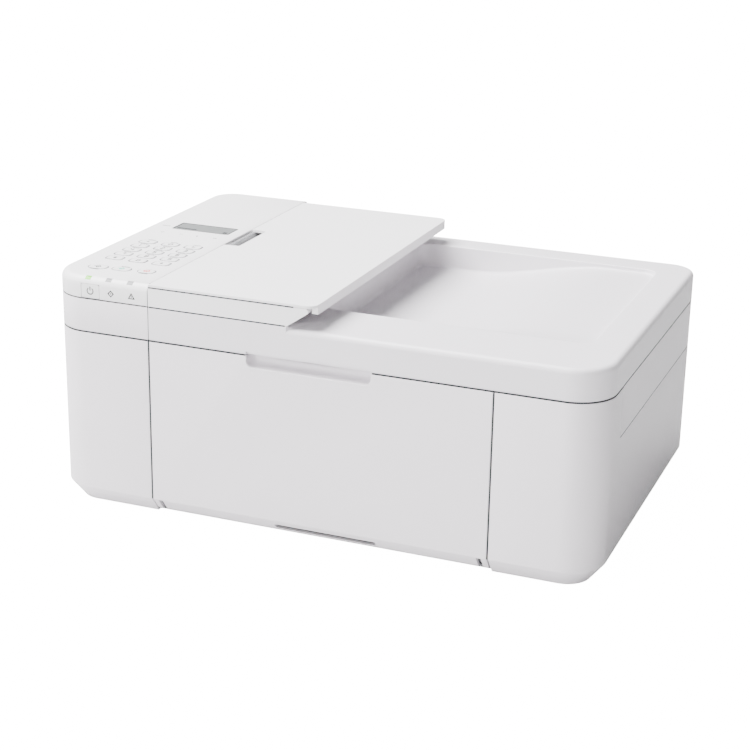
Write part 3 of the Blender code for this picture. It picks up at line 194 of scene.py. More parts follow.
def inward_normals(path, side, closed):
    """Unit normals of a path: the mean of the two neighbouring directions, turned a quarter."""
    steps = np.diff(path, axis=0, append=path[:1] if closed else path[-1:] * 2 - path[-2:-1])
    steps /= np.linalg.norm(steps, axis=1)[:, None]
    before = np.roll(steps, 1, axis=0)
    if not closed:
        before[0] = steps[0]
        steps[-1] = before[-1]
    mean = steps + before
    mean /= np.linalg.norm(mean, axis=1)[:, None]
    reach = 1 / np.clip((mean * steps).sum(1), 0.3, 1)
    return np.stack([-mean[:, 1], mean[:, 0]], 1) * side * reach[:, None]


def skin(name, rings, material, body, cap=True, closed=True, smooth=35):
    """A surface through rings of points, (rings, points, 3), closed round each ring and capped."""
    rings = np.asarray(rings, float)
    count, size = rings.shape[:2]
    index = np.arange(count * size).reshape(count, size)
    around = np.roll(index, -1, axis=1) if closed else index[:, 1:]
    here = index if closed else index[:, :-1]
    quads = np.stack([here[:-1], around[:-1], around[1:], here[1:]], -1).reshape(-1, 4)
    faces = quads.tolist()
    if cap:
        faces += [index[0, ::-1].tolist(), index[-1].tolist()]
    mesh = bpy.data.meshes.new(name)
    mesh.from_pydata(rings.reshape(-1, 3).tolist(), [], faces)
    work = bmesh.new()
    work.from_mesh(mesh)
    bmesh.ops.remove_doubles(work, verts=work.verts, dist=1e-6)
    bmesh.ops.recalc_face_normals(work, faces=work.faces)
    work.to_mesh(mesh)
    work.free()
    mesh.shade_smooth()
    mesh.set_sharp_from_angle(angle=math.radians(smooth))
    mesh.materials.append(material)
    piece = bpy.data.objects.new(name, mesh)
    bpy.context.scene.collection.objects.link(piece)
    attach(piece, body)
    return piece


def swept_wall(name, path, side, sections, material, body, edge=EDGE):
    """A wall: one closed section (inset, z) for each point, placed at path + normal * inset,
    with both cut ends rounded by shrinking the section by edge * (1 - sin a)."""
    normals = inward_normals(path, side, False)

    def ring(place, normal, loop):
        flat = place + normal * loop[:, :1]
        return np.concatenate([flat, loop[:, 1:]], 1)

    def rounded_end(place, following, normal, loop, bearings):
        along = (following - place) / np.linalg.norm(following - place)
        shrink = inward_normals(loop, 1, True) * edge
        return [ring(place + along * edge * (1 - math.cos(a)), normal,
                     loop + shrink * (1 - math.sin(a))) for a in np.radians(bearings)]

    rings = rounded_end(path[0], path[1], normals[0], sections[0], [0, 30, 60, 90])
    rings += [ring(*spot) for spot in zip(path[1:-1], normals[1:-1], sections[1:-1])]
    rings += rounded_end(path[-1], path[-2], normals[-1], sections[-1], [90, 60, 30, 0])
    return skin(name, rings, material, body)


def case_section(top, bottom=None):
    """The wall's section in (inset, z): outer face, bevel, lower edge, inner face."""
    slope = BEVEL_INSET / (BEVEL_TOP - CASE_BOTTOM)
    low = CASE_BOTTOM if bottom is None else bottom
    out = (BEVEL_TOP - low) * slope
    thick = WALL * 1.27
    corners = [(0, top), (0, BEVEL_TOP), (out, low), (out + thick, low),
               (WALL, BEVEL_TOP + WALL / 2), (WALL, top)]
    return rounded_path(corners, [0.0008, 0.0016, 0.0008, 0.0004, 0.0012, 0.0004], 5)


def carve(piece, *boxes, cutter=None):
    """Takes boxes (low corner, high corner), or a ready closed piece, out of a piece for good."""
    work = bmesh.new()
    for low, high in boxes:
        size = Matrix.Diagonal((*(np.subtract(high, low)), 1))
        middle = Matrix.Translation(Vector(np.add(low, high) / 2))
        bmesh.ops.create_cube(work, size=1.0, matrix=middle @ size)
    mesh = bpy.data.meshes.new("cutter")
    work.to_mesh(mesh)
    work.free()
    tool = cutter or bpy.data.objects.new("cutter", mesh)
    if cutter is None:
        bpy.context.scene.collection.objects.link(tool)
    change = piece.modifiers.new("cut", "BOOLEAN")
    change.object = tool
    change.use_self = True
    graph = bpy.context.evaluated_depsgraph_get()
    result = bpy.data.meshes.new_from_object(piece.evaluated_get(graph))
    piece.modifiers.remove(change)
    piece.data = result
    bpy.data.objects.remove(tool)
    piece.data.set_sharp_from_angle(angle=math.radians(35))
    return piece


left_path = rounded_path([(TOWER_X - SEAM, FRONT), (LEFT, FRONT), (LEFT, BACK),
                          (TOWER_X - SEAM, BACK)],
                         [0, FRONT_RADIUS, REAR_RADIUS, 0], 18, False)
left_case = swept_wall("left_case_shell", left_path, -1,
                       [case_section(CASE_TOP - SEAM)] * len(left_path), white_case, "body")
SOCKET_GAP = 0.0004
sockets = []
for socket in ("ac_inlet", "usb_port", "phone_jacks"):
    low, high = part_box(socket)
    sockets.append(((low[0] - SOCKET_GAP, BACK - 0.01, low[2] - SOCKET_GAP),
                    (high[0] + SOCKET_GAP, BACK + 0.01, high[2] + SOCKET_GAP)))
carve(left_case, *sockets)
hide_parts("left_case")

# --- Right case ------------------------------------------------------------------------------
# The mirror of the left shell round the right end. Behind the front column it steps down, by a
# jump between two sections 0.01 mm apart, so the scanner's own side skin shows above it.
SEAM_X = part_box("right_case")[0][0]
SCANNER_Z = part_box("scanner_frame")[0][2]
SIDE_SEAM_Y = FRONT + 0.0475
STEP_Y = SIDE_SEAM_Y - 0.0003
right_path = rounded_path([(SEAM_X + SEAM, FRONT), (RIGHT, FRONT), (RIGHT, STEP_Y - 0.00001),
                           (RIGHT, STEP_Y), (RIGHT, BACK), (SEAM_X + SEAM, BACK)],
                          [0, FRONT_RADIUS, 0, 0, REAR_RADIUS, 0], 18, False)
heights = np.where(np.cumsum(right_path[:, 1] > STEP_Y - 0.000005) > 0,
                   SCANNER_Z - 0.0006, CASE_TOP - SEAM)
right_case = swept_wall("right_case_shell", right_path, 1, [case_section(z) for z in heights],
                        white_case, "body")
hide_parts("right_case")

# --- Rear cover ------------------------------------------------------------------------------
# A plain white panel across the back, in the same ABS, under the scanner.
rear_low, rear_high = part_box("rear_cover")
rear_path = np.array([(rear_low[0], BACK), (rear_low[0] + 0.001, BACK),
                      (rear_high[0] - 0.001, BACK), (rear_high[0], BACK)])
rear_cover = swept_wall("rear_cover_panel", rear_path, -1, [case_section(rear_high[2])] * 4,
                        white_case, "body")
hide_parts("rear_cover")

# --- Front cover -----------------------------------------------------------------------------
# The wide white door over the paper trays, hinged along its lower edge. A cup for the fingers is
# moulded into its top edge, and its lower bevel has a shallow dark slot.
door_low, door_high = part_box("front_cover")
door_path = np.array([(door_low[0], FRONT), (door_low[0] + 0.001, FRONT),
                      (door_high[0] - 0.001, FRONT), (door_high[0], FRONT)])
front_cover = swept_wall("front_cover_panel", door_path, 1,
                         [case_section(CASE_TOP - SEAM, door_low[2])] * 4, white_case,
                         "front_cover")
CUP_X = (-0.052, 0.046)
CUP_Z = CASE_TOP - 0.0094
CUP_TOP = CASE_TOP - 0.0006
CUP_DEPTH = 0.0105
CUP_CORNER = 0.005
HOOK_INSET = 0.0062
HOOK_HALF = 0.0019
SLOT_X = (-0.031, 0.050)
SLOT_Z = (0.0098, 0.0136)


def stadium_box(name, x, z, low_y, high_y, radii, steps, material, body):
    """A block with a rounded outline in X and Z, reaching from low_y to high_y."""
    outline = rounded_path([(x[0], z[0]), (x[1], z[0]), (x[1], z[1]), (x[0], z[1])], radii, steps)
    rings = [np.stack([outline[:, 0], np.full(len(outline), y), outline[:, 1]], 1)
             for y in (low_y, high_y)]
    return skin(name, rings, material, body)


cup_cut = stadium_box("cup_cut", CUP_X, (CUP_Z, CASE_TOP + 0.01), FRONT - 0.01, FRONT + 0.02,
                      [CUP_CORNER, CUP_CORNER, 0, 0], 10, white_case, "front_cover")
carve(front_cover, cutter=cup_cut)
notches = []
for x in (door_low[0] + HOOK_INSET, door_high[0] - HOOK_INSET):
    notches.append(((x - HOOK_HALF, FRONT - 0.01, 0),
                    (x + HOOK_HALF, FRONT + 0.03, BEVEL_TOP - 0.0005)))
carve(front_cover, *notches)
carve(front_cover, ((SLOT_X[0], FRONT - 0.01, SLOT_Z[0]), (SLOT_X[1], FRONT + 0.03, SLOT_Z[1])))
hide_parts("front_cover")


def cup_surface():
    """The cup: an outline shrunk step by step while it runs back, so the floor curves up into
    the rear wall as y = front + depth * sin a and shrink = depth * (1 - cos a) / 3."""
    rings = []
    for a in np.linspace(0, math.pi / 2, 9):
        y = FRONT + 0.0004 + (CUP_DEPTH - 0.0004) * math.sin(a)
        shrink = CUP_DEPTH * (1 - math.cos(a)) / 3
        left, right = CUP_X[0] + shrink, CUP_X[1] - shrink
        loop = rounded_path([(left, CUP_TOP), (left, CUP_Z + shrink), (right, CUP_Z + shrink),
                             (right, CUP_TOP)], [0, CUP_CORNER, CUP_CORNER, 0], 10, False)
        rings.append(np.stack([loop[:, 0], np.full(len(loop), y), loop[:, 1]], 1))
    last = rings[-1]
    back = last.copy()
    back[:, 0] = last[:, 0].mean() + (last[:, 0] - last[:, 0].mean()) * 0.2
    back[:, 2] = np.minimum(last[:, 2] + 0.003, CUP_TOP)
    rings.append(back)
    return np.array(rings)


handle_cup = skin("handle_cup", cup_surface(), white_case, "front_cover",
                  cap=False, closed=False)
wall = handle_cup.modifiers.new("wall", "SOLIDIFY")
wall.thickness = 0.0016
wall.offset = 1


# --- Scanner frame ---------------------------------------------------------------------------
# The white ABS tray that holds the glass. Its own side wall shows at the right and at the back,
# above a fine seam. The deck that the lid closes on is part of it.
dress(["scanner_frame"], white_case, 0.0003)

# --- Glass and scanning unit -----------------------------------------------------------------
# Float glass with a faintly green body. Under it a dark scan bar rides on a steel rod.
glass, glass_shader = new_material("float_glass_polished")
glass_shader.inputs["Base Color"].default_value = linear("#e6f0ec")
glass_shader.inputs["Transmission Weight"].default_value = 1.0
glass_shader.inputs["IOR"].default_value = 1.52
place = add_node(glass, "ShaderNodeTexCoord").outputs["Object"]
smear = add_node(glass, "ShaderNodeTexNoise", {"Scale": 40.0, "Detail": 2.0}, Vector=place)
haze = add_node(glass, "ShaderNodeMapRange", {"To Min": 0.0, "To Max": 0.05},
                Value=smear.outputs[0])
feed(glass, haze.outputs[0], glass_shader, "Roughness")
dress(["platen_glass", "adf_glass"], glass)
dress(["scan_carriage"], dark_plastic, 0.0003)


def brushed(name, colour, roughness, grain):
    """A metal whose fine lines run along X: noise squeezed to a tenth along the line."""
    material, shader = new_material(name)
    where = add_node(material, "ShaderNodeTexCoord").outputs["Object"]
    squeeze = add_node(material, "ShaderNodeMapping", {"Scale": (0.1, 1.0, 1.0)}, Vector=where)
    lines = add_node(material, "ShaderNodeTexNoise", {"Scale": 1000 / grain, "Detail": 2.0},
                     Vector=squeeze.outputs[0])
    tone = add_node(material, "ShaderNodeMapRange",
                    {"To Min": roughness - 0.06, "To Max": roughness + 0.06},
                    Value=lines.outputs[0])
    feed(material, tone.outputs[0], shader, "Roughness")
    bump = add_node(material, "ShaderNodeBump", {"Strength": 0.4, "Distance": 0.00002},
                    Height=lines.outputs[0])
    feed(material, bump.outputs[0], shader, "Normal")
    shader.inputs["Base Color"].default_value = linear(colour)
    shader.inputs["Metallic"].default_value = 1.0
    return material


# --- Chassis, rails and print works ----------------------------------------------------------
# Pressed and zinc-plated steel side plates, the carriage rail and the motor can. Rollers are
# rubber on steel shafts, and the toothed belt is black rubber.
steel = brushed("zinc_plated_steel_brushed", "#b9bbbd", 0.34, 0.8)
dress(["chassis", "carriage_rail", "carriage_motor", "scan_rod", "usb_port"], steel, 0.0002)
dress(["feed_roller", "eject_roller", "pickup_roller", "adf_feed_roller", "adf_pick_roller",
       "carriage_belt"], rubber)
light_plastic = mottled("moulded_acetal_pale", "#d8d8d6", "#cfcfcd", 12.0, 0.5, 0.4, 0.05, 0.00002)
dress(["motor_pulley", "idler_pulley"], light_plastic, 0.0002)
dress(["carriage", "black_cartridge", "colour_cartridge", "power_supply", "ac_inlet",
       "phone_jacks"], dark_plastic, 0.0003)
board = mottled("solder_mask_green_gloss", "#1f6b3d", "#1a5c34", 4.0, 0.8, 0.3, 0.06, 0.00003)
dress(["main_board"], board)

# --- Scanner lid -----------------------------------------------------------------------------
# The big white ABS lid: a flat rim with a 4 mm edge, and a hollow whose floor curves up to the
# right and to the front, where printed sheets land. The left part is the sheet feeder's seat.
# The lid's white is a little darker than the feeder's and the panel's: painted shade for the hollow,
# whose floor gets less light.
lid_white_painted_shade = mottled("spark_textured_abs_lid_white_painted_shade", "#e4e0e5", "#e0dce1", 60.0, 0.6,
                    0.40, 0.05, 0.00002)
lid_low, lid_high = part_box("scanner_lid")
hollow_low, hollow_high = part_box("output_floor")
LID_LEFT = lid_low[0]
SEAT_X = LID_LEFT + 0.1117
SEAT_Y = BACK - 0.0115
SEAT_Z = lid_high[2]
RIM_Z = SEAT_Z - 0.0017
DECK = lid_low[2]
HINGE_RADIUS = 0.006
LID_AXIS = (BACK - HINGE_RADIUS, DECK + HINGE_RADIUS)
RIM_ROUND = 0.004
FINE_ROUND = 0.0007
TOP_ROUND = 0.0011
FILLET = 0.0022
HOLLOW_GAP = 0.0003
HOLLOW = (hollow_low[0] - HOLLOW_GAP, hollow_high[0] + HOLLOW_GAP,
          hollow_low[1] - HOLLOW_GAP, hollow_high[1] + HOLLOW_GAP)
HOLLOW_CORNER = 0.012
FLOOR_Z = DECK + 0.0040
RISE_START = 0.1667
RISE_LENGTH = 0.115
RIGHT_STEP = 0.0038
RAMP_LENGTH = 0.034
CENTRE = np.array([(HOLLOW[0] + HOLLOW[1]) / 2, (HOLLOW[2] + HOLLOW[3]) / 2])


def at_angles(path, angles):
    """Where rays from the centre at these angles meet a closed path, found on a dense copy."""
    ends = np.roll(path, -1, axis=0)
    share = np.linspace(0, 1, 200, endpoint=False)[None, :, None]
    dense = (path[:, None] + (ends - path)[:, None] * share).reshape(-1, 2) - CENTRE
    bearing = np.arctan2(dense[:, 1], dense[:, 0])
    order = np.argsort(bearing)
    reach = np.interp(angles, bearing[order], np.hypot(*dense[order].T), period=2 * math.pi)
    return CENTRE + np.stack([np.cos(angles), np.sin(angles)], 1) * reach[:, None]


def lid_edge(inset, left=0.0):
    return rounded_path([(LID_LEFT + left, FRONT + inset), (RIGHT - inset, FRONT + inset),
                         (RIGHT - inset, BACK - inset), (LID_LEFT + left, BACK - inset)],
                        [0, FRONT_RADIUS - inset, REAR_RADIUS - inset, 0], 24)


def hollow_edge(grow):
    x0, x1, y0, y1 = HOLLOW
    return rounded_path([(x0 - grow, y0 - grow), (x1 + grow, y0 - grow),
                         (x1 + grow, y1 + grow), (x0 - grow, y1 + grow)],
                        [HOLLOW_CORNER + grow] * 4, 14)


def hollow_floor(x, y):
    """The output floor's height: flat by the feeder, rising to the right as 3a^2 - 2a^3 over
    115 mm, and blended up to the rim over the front 34 mm as b^1.8."""
    a = np.clip((x - LID_LEFT - RISE_START) / RISE_LENGTH, 0, 1)
    side = FLOOR_Z + (RIM_Z - RIGHT_STEP - FLOOR_Z) * a * a * (3 - 2 * a)
    b = np.clip((HOLLOW[2] + RAMP_LENGTH - y) / RAMP_LENGTH, 0, 1)
    return side + (RIM_Z + 0.0001 - side) * b ** 1.8


def lid_rings():
    """Rings on common rays: the floor from its centre outwards, the hollow's wall with a fillet
    and a round, the rim, the step up to the feeder's seat, the outer edge, and the underside."""
    bearings = [np.linspace(-math.pi, math.pi, 150, endpoint=False)]
    for path in (lid_edge(0), hollow_edge(0)):
        bearings.append(np.arctan2(*(path - CENTRE).T[::-1]))
    for x, y in ((SEAT_X - 2e-5, FRONT), (SEAT_X + 2e-5, FRONT), (LID_LEFT, SEAT_Y - 2e-5),
                 (LID_LEFT, SEAT_Y + 2e-5)):
        bearings.append([math.atan2(y - CENTRE[1], x - CENTRE[0])])
    angles = np.unique(np.round(np.concatenate(bearings), 7))
    rim = at_angles(hollow_edge(0), angles)
    spread = (at_angles(hollow_edge(0.001), angles) - rim) / 0.001
    height = RIM_Z - hollow_floor(*rim.T)
    round_top = np.minimum(TOP_ROUND, 0.42 * height)[:, None]
    round_low = np.minimum(FILLET, 0.5 * height)[:, None]
    rings = []

    def add(plan, z):
        plan = plan.copy()
        low = np.minimum(np.broadcast_to(z, len(plan)), LID_AXIS[1]) - LID_AXIS[1]
        back = LID_AXIS[0] + np.sqrt(np.maximum(HINGE_RADIUS ** 2 - low ** 2, 0))
        plan[:, 1] = np.minimum(plan[:, 1], back)
        rings.append(np.column_stack([plan, np.broadcast_to(z, len(plan))]))

    inner = rim - spread * round_low
    for share in np.concatenate([[0.02], np.linspace(0.05, 1, 44)]):
        plan = CENTRE + (inner - CENTRE) * share
        add(plan, hollow_floor(*plan.T))
    for a in np.radians([75, 60, 45, 30, 15, 0]):
        plan = rim - spread * round_low * (1 - math.cos(a))
        lift = round_low[:, 0] * (1 - math.sin(a))
        add(plan, hollow_floor(*plan.T) + lift)
    for a in np.radians([90, 70, 50, 30, 15, 0]):
        add(rim + spread * round_top * (1 - math.sin(a)),
            RIM_Z - round_top[:, 0] * (1 - math.cos(a)))
    start = rings[-1][:, :2]
    outer = at_angles(lid_edge(0), angles)
    in_seat = (outer[:, 0] < SEAT_X) & (outer[:, 1] < SEAT_Y)
    at_left = outer[:, 0] < LID_LEFT + 1e-6
    soft = np.where(in_seat | at_left, FINE_ROUND, RIM_ROUND)
    top = np.where(in_seat, SEAT_Z, RIM_Z)
    edges = [(at_angles(lid_edge(RIM_ROUND * k, FINE_ROUND * k), angles),
              at_angles(lid_edge(FINE_ROUND * k, FINE_ROUND * k), angles))
             for k in (1 - np.sin(np.radians([0, 15, 30, 45, 60, 75, 90])))]
    pick = (soft < 0.001)[:, None]
    end = np.where(pick, edges[0][1], edges[0][0])
    way = end - start
    enter = np.where(end[:, 0] < SEAT_X, (SEAT_X - start[:, 0]) / np.minimum(way[:, 0], -1e-9), 0.4)
    crosses = end[:, 0] < SEAT_X
    y_enter = start[:, 1] + way[:, 1] * enter
    crosses &= y_enter < SEAT_Y
    enter = np.where(crosses, enter, 0.4)
    leaves = crosses & ~in_seat
    leave = np.where(leaves, (SEAT_Y - start[:, 1]) / np.where(leaves, way[:, 1], 1), 0.999)
    leave = np.maximum(leave, enter + 0.0005)
    for share, z in ((enter, np.full(len(end), RIM_Z)), (enter, np.where(crosses, SEAT_Z, RIM_Z)),
                     (leave, np.where(crosses, SEAT_Z, RIM_Z)), (leave, top)):
        add(start + way * share[:, None], z)
    for (large, small), a in zip(edges, np.radians([0, 15, 30, 45, 60, 75, 90])):
        add(np.where(pick, small, large), top - soft * (1 - math.cos(a)))
    side = np.where(pick, edges[-1][1], edges[-1][0])
    for z in (RIM_Z - 0.0046, DECK + 0.0060, DECK + 0.0045, DECK + 0.0030, DECK + 0.0018,
              DECK + 0.0008):
        add(side, z)
    for inset, lift in ((0.0002, 0.0003), (0.0008, 0), (0.0026, 0), (0.0028, 0.0012)):
        add(at_angles(lid_edge(inset, inset), angles), DECK + lift)
    return np.array(rings)


lid = skin("scanner_lid_shell", lid_rings(), lid_white_painted_shade, "scanner_lid", smooth=32)
WELL_X = (LID_LEFT + 0.0042, LID_LEFT + 0.0607)
WELL_HALF = 0.118
CUP_STEP = 0.0024
HINGE_HALF = 0.0115
HINGE_ROOM = 0.0065
lid_cuts = [((WELL_X[0], -WELL_HALF, DECK - 0.01), (WELL_X[1], WELL_HALF, SEAT_Z + 0.01)),
            ((CUP_X[0], FRONT - 0.01, DECK - 0.01), (CUP_X[1], FRONT + CUP_STEP, DECK + CUP_STEP))]
for hinge in ("lid_hinge_left", "lid_hinge_right"):
    low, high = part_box(hinge)
    x = (low[0] + high[0]) / 2
    lid_cuts.append(((x - HINGE_HALF, LID_AXIS[0] - HINGE_ROOM, DECK - 0.01),
                     (x + HINGE_HALF, BACK + 0.01, LID_AXIS[1] + HINGE_ROOM)))
carve(lid, *lid_cuts)
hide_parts("scanner_lid", "output_floor")
foam = mottled("vinyl_on_foam_white", "#e9e9e6", "#e4e4e0", 9.0, 0.8, 0.6, 0.05, 0.00003)
dress(["pressure_sheet"], foam)

# --- Sheet feeder ----------------------------------------------------------------------------
# The feeder's frame is the bright white ABS of the lid, with a grey inner cover and guides. The
# document tray on top is a white panel that swings over to the right.
bright_white = mottled("spark_textured_abs_bright_white", "#f3f1f3", "#efedef", 60.0, 0.6,
                       0.40, 0.05, 0.00002)
dress(["adf_frame", "document_tray"], bright_white, 0.0008)


def arc(radius, start, end, steps=20):
    a = np.radians(np.linspace(start, end, steps))
    return np.stack([radius * np.cos(a), radius * np.sin(a)], 1)


pale_grey = mottled("spark_textured_abs_pale_grey", "#8f8f92", "#89898c", 18.0, 0.5,
                    0.5, 0.06, 0.00003)
dress(["feeder_cover", "document_guide_front", "document_guide_rear"], pale_grey, 0.0003)
tray_x, tray_z = LID_LEFT + 0.1267, SEAT_Z + 0.0128
nose = arc(2.3, -36, 90, 12)
cheek = [(SEAT_X + 0.0010, SEAT_Z + 0.0004)]
cheek += [(tray_x + u / 1000, tray_z + v / 1000) for u, v in nose]
cheek += [(SEAT_X - 0.0117, tray_z + 0.0021), (SEAT_X - 0.0117, SEAT_Z + 0.0008)]
for name, low, high in (("feeder_end_front", FRONT + 0.0001, FRONT + 0.0018),
                        ("feeder_end_rear", SEAT_Y - 0.0018, SEAT_Y - 0.0001)):
    rings = [[(x, y, z) for x, z in cheek] for y in (low, high)]
    skin(name, rings, bright_white, "scanner_lid")
frame_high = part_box("adf_frame")[1]
NOTCH_Y = (-0.0245, 0.0345)
notch = [(LID_LEFT, NOTCH_Y[0]), (LID_LEFT + 0.0021, NOTCH_Y[0]), (LID_LEFT + 0.0021, NOTCH_Y[1]),
         (LID_LEFT, NOTCH_Y[1])]
skin("notch_rim", [[(x, y, z) for x, y in notch]
                   for z in (frame_high[2] - 0.0012, frame_high[2] + 0.00008)],
     pale_grey, "scanner_lid")

# --- Control panel ---------------------------------------------------------------------------
# A bright white ABS column on the left with a 6 mm rounded edge. Its keys are nearly white and
# stand slightly proud of the top.
base_low, base_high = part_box("panel_base")
panel_low, panel_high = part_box("panel_shell")
PANEL_TOP = panel_high[2]
PANEL_ROUND = 0.006


def panel_edge(inset, right):
    return rounded_path([(LEFT + inset, FRONT + inset), (panel_high[0] - right, FRONT + inset),
                         (panel_high[0] - right, BACK - inset), (LEFT + inset, BACK - inset)],
                        [FRONT_RADIUS - inset, 0, 0, REAR_RADIUS - inset], 24)


def rings_of(outlines):
    return [np.column_stack([plan, np.full(len(plan), z)]) for plan, z in outlines]


def rounded_block(x0, x1, y0, y1, low, high, radius, top_round, steps=6):
    """Rings of a key: a rounded outline going up, its top edge rounded over."""
    corners = [(x0, y0), (x1, y0), (x1, y1), (x0, y1)]

    def at(inset):
        moved = [(x + inset * (1 if x == x0 else -1), y + inset * (1 if y == y0 else -1))
                 for x, y in corners]
        return rounded_path(moved, [max(radius - inset, 0.0002)] * 4, steps)

    levels = [(at(0), low), (at(0), high - top_round)]
    levels += [(at(top_round * (1 - math.cos(a))), high - top_round * (1 - math.sin(a)))
               for a in np.radians([30, 60, 90])]
    return rings_of(levels)


def eased(z, away):
    """The outlines that round a lower edge (away = 1) or an upper edge (away = -1) at height z."""
    return [(panel_edge(inset, inset), z + away * lift)
            for inset, lift in ((0.0007, 0), (0.0002, 0.0003), (0, 0.0008))]


base_levels = eased(base_low[2], 1) + eased(base_high[2], -1)[::-1]
panel_base = skin("panel_base_shell", rings_of(base_levels), white_case, "body")
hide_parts("panel_base")
panel_levels = eased(panel_low[2], 1) + [(panel_edge(0, 0), PANEL_TOP - 0.0065)]
panel_levels += [(panel_edge(PANEL_ROUND * (1 - math.cos(a)), EDGE * (1 - math.cos(a))),
                  PANEL_TOP - PANEL_ROUND * (1 - math.sin(a)))
                 for a in np.radians([0, 10, 20, 30, 40, 50, 60, 70, 80, 90])]
panel = skin("panel_top_shell", rings_of(panel_levels), bright_white, "body",
             smooth=30)
key_plastic = mottled("moulded_key_plastic_pale_grey", "#f0eff0", "#ebeaeb", 20.0, 0.5,
                      0.38, 0.05, 0.00002)
KEY_COLUMNS = (-0.1905, -0.1703, -0.1501)
FIRST_ROW = FRONT + 0.0560
ROW_PITCH = 0.0132
KEY_HALF = (0.0065, 0.0039)
KEY_CORNER = 0.0022
keys = {}
for column, x in enumerate(KEY_COLUMNS):
    for row in range(5):
        y = FIRST_ROW + ROW_PITCH * row
        keys[f"key_{column}_{row}"] = (x - KEY_HALF[0], x + KEY_HALF[0], y - KEY_HALF[1],
                                       y + KEY_HALF[1], KEY_CORNER)
START_HALF = 0.0044
START_CORNER = 0.0042
START_KEYS = {"black_start_key": (-0.1895, 0.0145), "colour_start_key": (-0.1703, 0.0140),
              "stop_key": (-0.1500, 0.0128)}
for name, (x, wide) in START_KEYS.items():
    low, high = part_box(name)
    y = (low[1] + high[1]) / 2
    keys[name] = (x - wide / 2, x + wide / 2, y - START_HALF, y + START_HALF, START_CORNER)
window_low, window_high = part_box("lcd_window")
openings = dict(keys)
openings["window"] = (window_low[0], window_high[0], window_low[1], window_high[1], 0.0015)
cutter_mesh = bmesh.new()
KEY_GAP = 0.0004
for x0, x1, y0, y1, radius in openings.values():
    rings = rounded_block(x0 - KEY_GAP, x1 + KEY_GAP, y0 - KEY_GAP, y1 + KEY_GAP,
                          PANEL_TOP - 0.008, PANEL_TOP + 0.01, radius + KEY_GAP, 0.0003)
    block_mesh = skin("key_hole", rings, lid_white_painted_shade, "body")
    cutter_mesh.from_mesh(block_mesh.data)
    bpy.data.objects.remove(block_mesh)
holes = bpy.data.meshes.new("key_holes")
cutter_mesh.to_mesh(holes)
cutter_mesh.free()
hole_tool = bpy.data.objects.new("key_holes", holes)
bpy.context.scene.collection.objects.link(hole_tool)
carve(panel, cutter=hole_tool)
power_low, power_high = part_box("power_button")
POWER_GAP = 0.0003
carve(panel, ((power_low[0] - POWER_GAP, FRONT - 0.01, power_low[2] - POWER_GAP),
              (power_high[0] + POWER_GAP, FRONT + 0.009, power_high[2] + POWER_GAP)))
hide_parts("panel_shell")
dress(["black_start_key", "colour_start_key", "stop_key", "keypad", "power_button"],
      key_plastic, 0.0003)

# --- Seam lines ------------------------------------------------------------------------------
# Painted shade for each seam: a dark grey bead of triangular section pressed into the gap between
# two mouldings, 0.12 mm below their faces, stands in for the gap's shade and lets no light through.
# The two beads at the feeder's front, where the gap is finer, stand 0.05 mm proud instead.
bead = mottled("painted_seam_shadow_grey", "#3b3b3e", "#353538", 5.0, 0.5, 0.8, 0.05, 0.00002, 0.2)


BEAD_HALF = 0.00055
BEAD_SUNK = 0.00012
FINE_HALF = 0.0005
PROUD = -0.00005


def seam_line(name, path, outward, across, body, half=BEAD_HALF, sunk=BEAD_SUNK):
    """Rings of three points: path + across * half and path - across * half, both sunk a little
    below the faces, and a root 0.6 mm deep."""
    path, outward = np.asarray(path, float), np.asarray(outward, float)
    side = np.array(across, float) * half
    rings = np.stack([path + side - outward * sunk, path - side - outward * sunk,
                      path - outward * 0.0006], 1)
    skin(name, rings, bead, body, smooth=20)


def level_seam(name, plan, side, z, body, half=BEAD_HALF, sunk=BEAD_SUNK):
    """A seam at one height: the plan path, its normals turned outwards, and Z across."""
    normals = inward_normals(plan, side, False)
    path = np.column_stack([plan, np.full(len(plan), z)])
    seam_line(name, path, np.column_stack([normals, np.zeros(len(plan))]), (0, 0, 1), body, half,
              sunk)


def face_seam(name, x, profile, body):
    """A seam in a plane of constant X: the profile in (y, z), with X across."""
    profile = np.asarray(profile, float)
    normals = inward_normals(profile, 1, False)
    fixed = np.full((len(profile), 1), x)
    seam_line(name, np.hstack([fixed, profile]), np.hstack([fixed * 0, normals]), (1, 0, 0), body)


def sampled(points, step=0.006):
    """The same line with points at most one step apart."""
    points = np.asarray(points, float)
    runs = [np.linspace(a, b, max(2, math.ceil(np.linalg.norm(b - a) / step)), endpoint=False)
            for a, b in zip(points[:-1], points[1:])]
    return np.concatenate(runs + [points[-1:]])


round_right = rounded_path([(CUP_X[1] + 0.0008, FRONT), (RIGHT, FRONT), (RIGHT, BACK), (0, BACK)],
                           [0, FRONT_RADIUS, REAR_RADIUS, 0], 24, False)
deck_z = (CASE_TOP + DECK) / 2 - SEAM / 2
level_seam("deck_seam_right", round_right[round_right[:, 1] < BACK - 0.008], -1, deck_z, "body")
level_seam("deck_seam_left", np.array([(LID_LEFT + 0.0003, FRONT), (CUP_X[0] - 0.0008, FRONT)]), -1,
           deck_z, "body")
tower = rounded_path([(TOWER_X - EDGE, FRONT), (LEFT, FRONT), (LEFT, BACK), (TOWER_X - EDGE, BACK)],
                     [0, FRONT_RADIUS, REAR_RADIUS, 0], 24, False)
level_seam("tower_seam", tower, 1, (CASE_TOP + base_low[2]) / 2 - SEAM / 2, "body", FINE_HALF)
level_seam("panel_seam", tower, 1, (base_high[2] + panel_low[2]) / 2, "body", 0.00045)
behind_column = rounded_path([(RIGHT, SIDE_SEAM_Y + 0.0010), (RIGHT, BACK), (0.142, BACK)],
                             [0, REAR_RADIUS, 0], 24, False)
level_seam("side_seam", behind_column, -1, SCANNER_Z - 0.0003, "body")
over = [(FRONT + PANEL_ROUND * (1 - math.cos(a)), PANEL_TOP - PANEL_ROUND * (1 - math.sin(a)))
        for a in np.radians([0, 15, 30, 45, 60, 75, 90])]
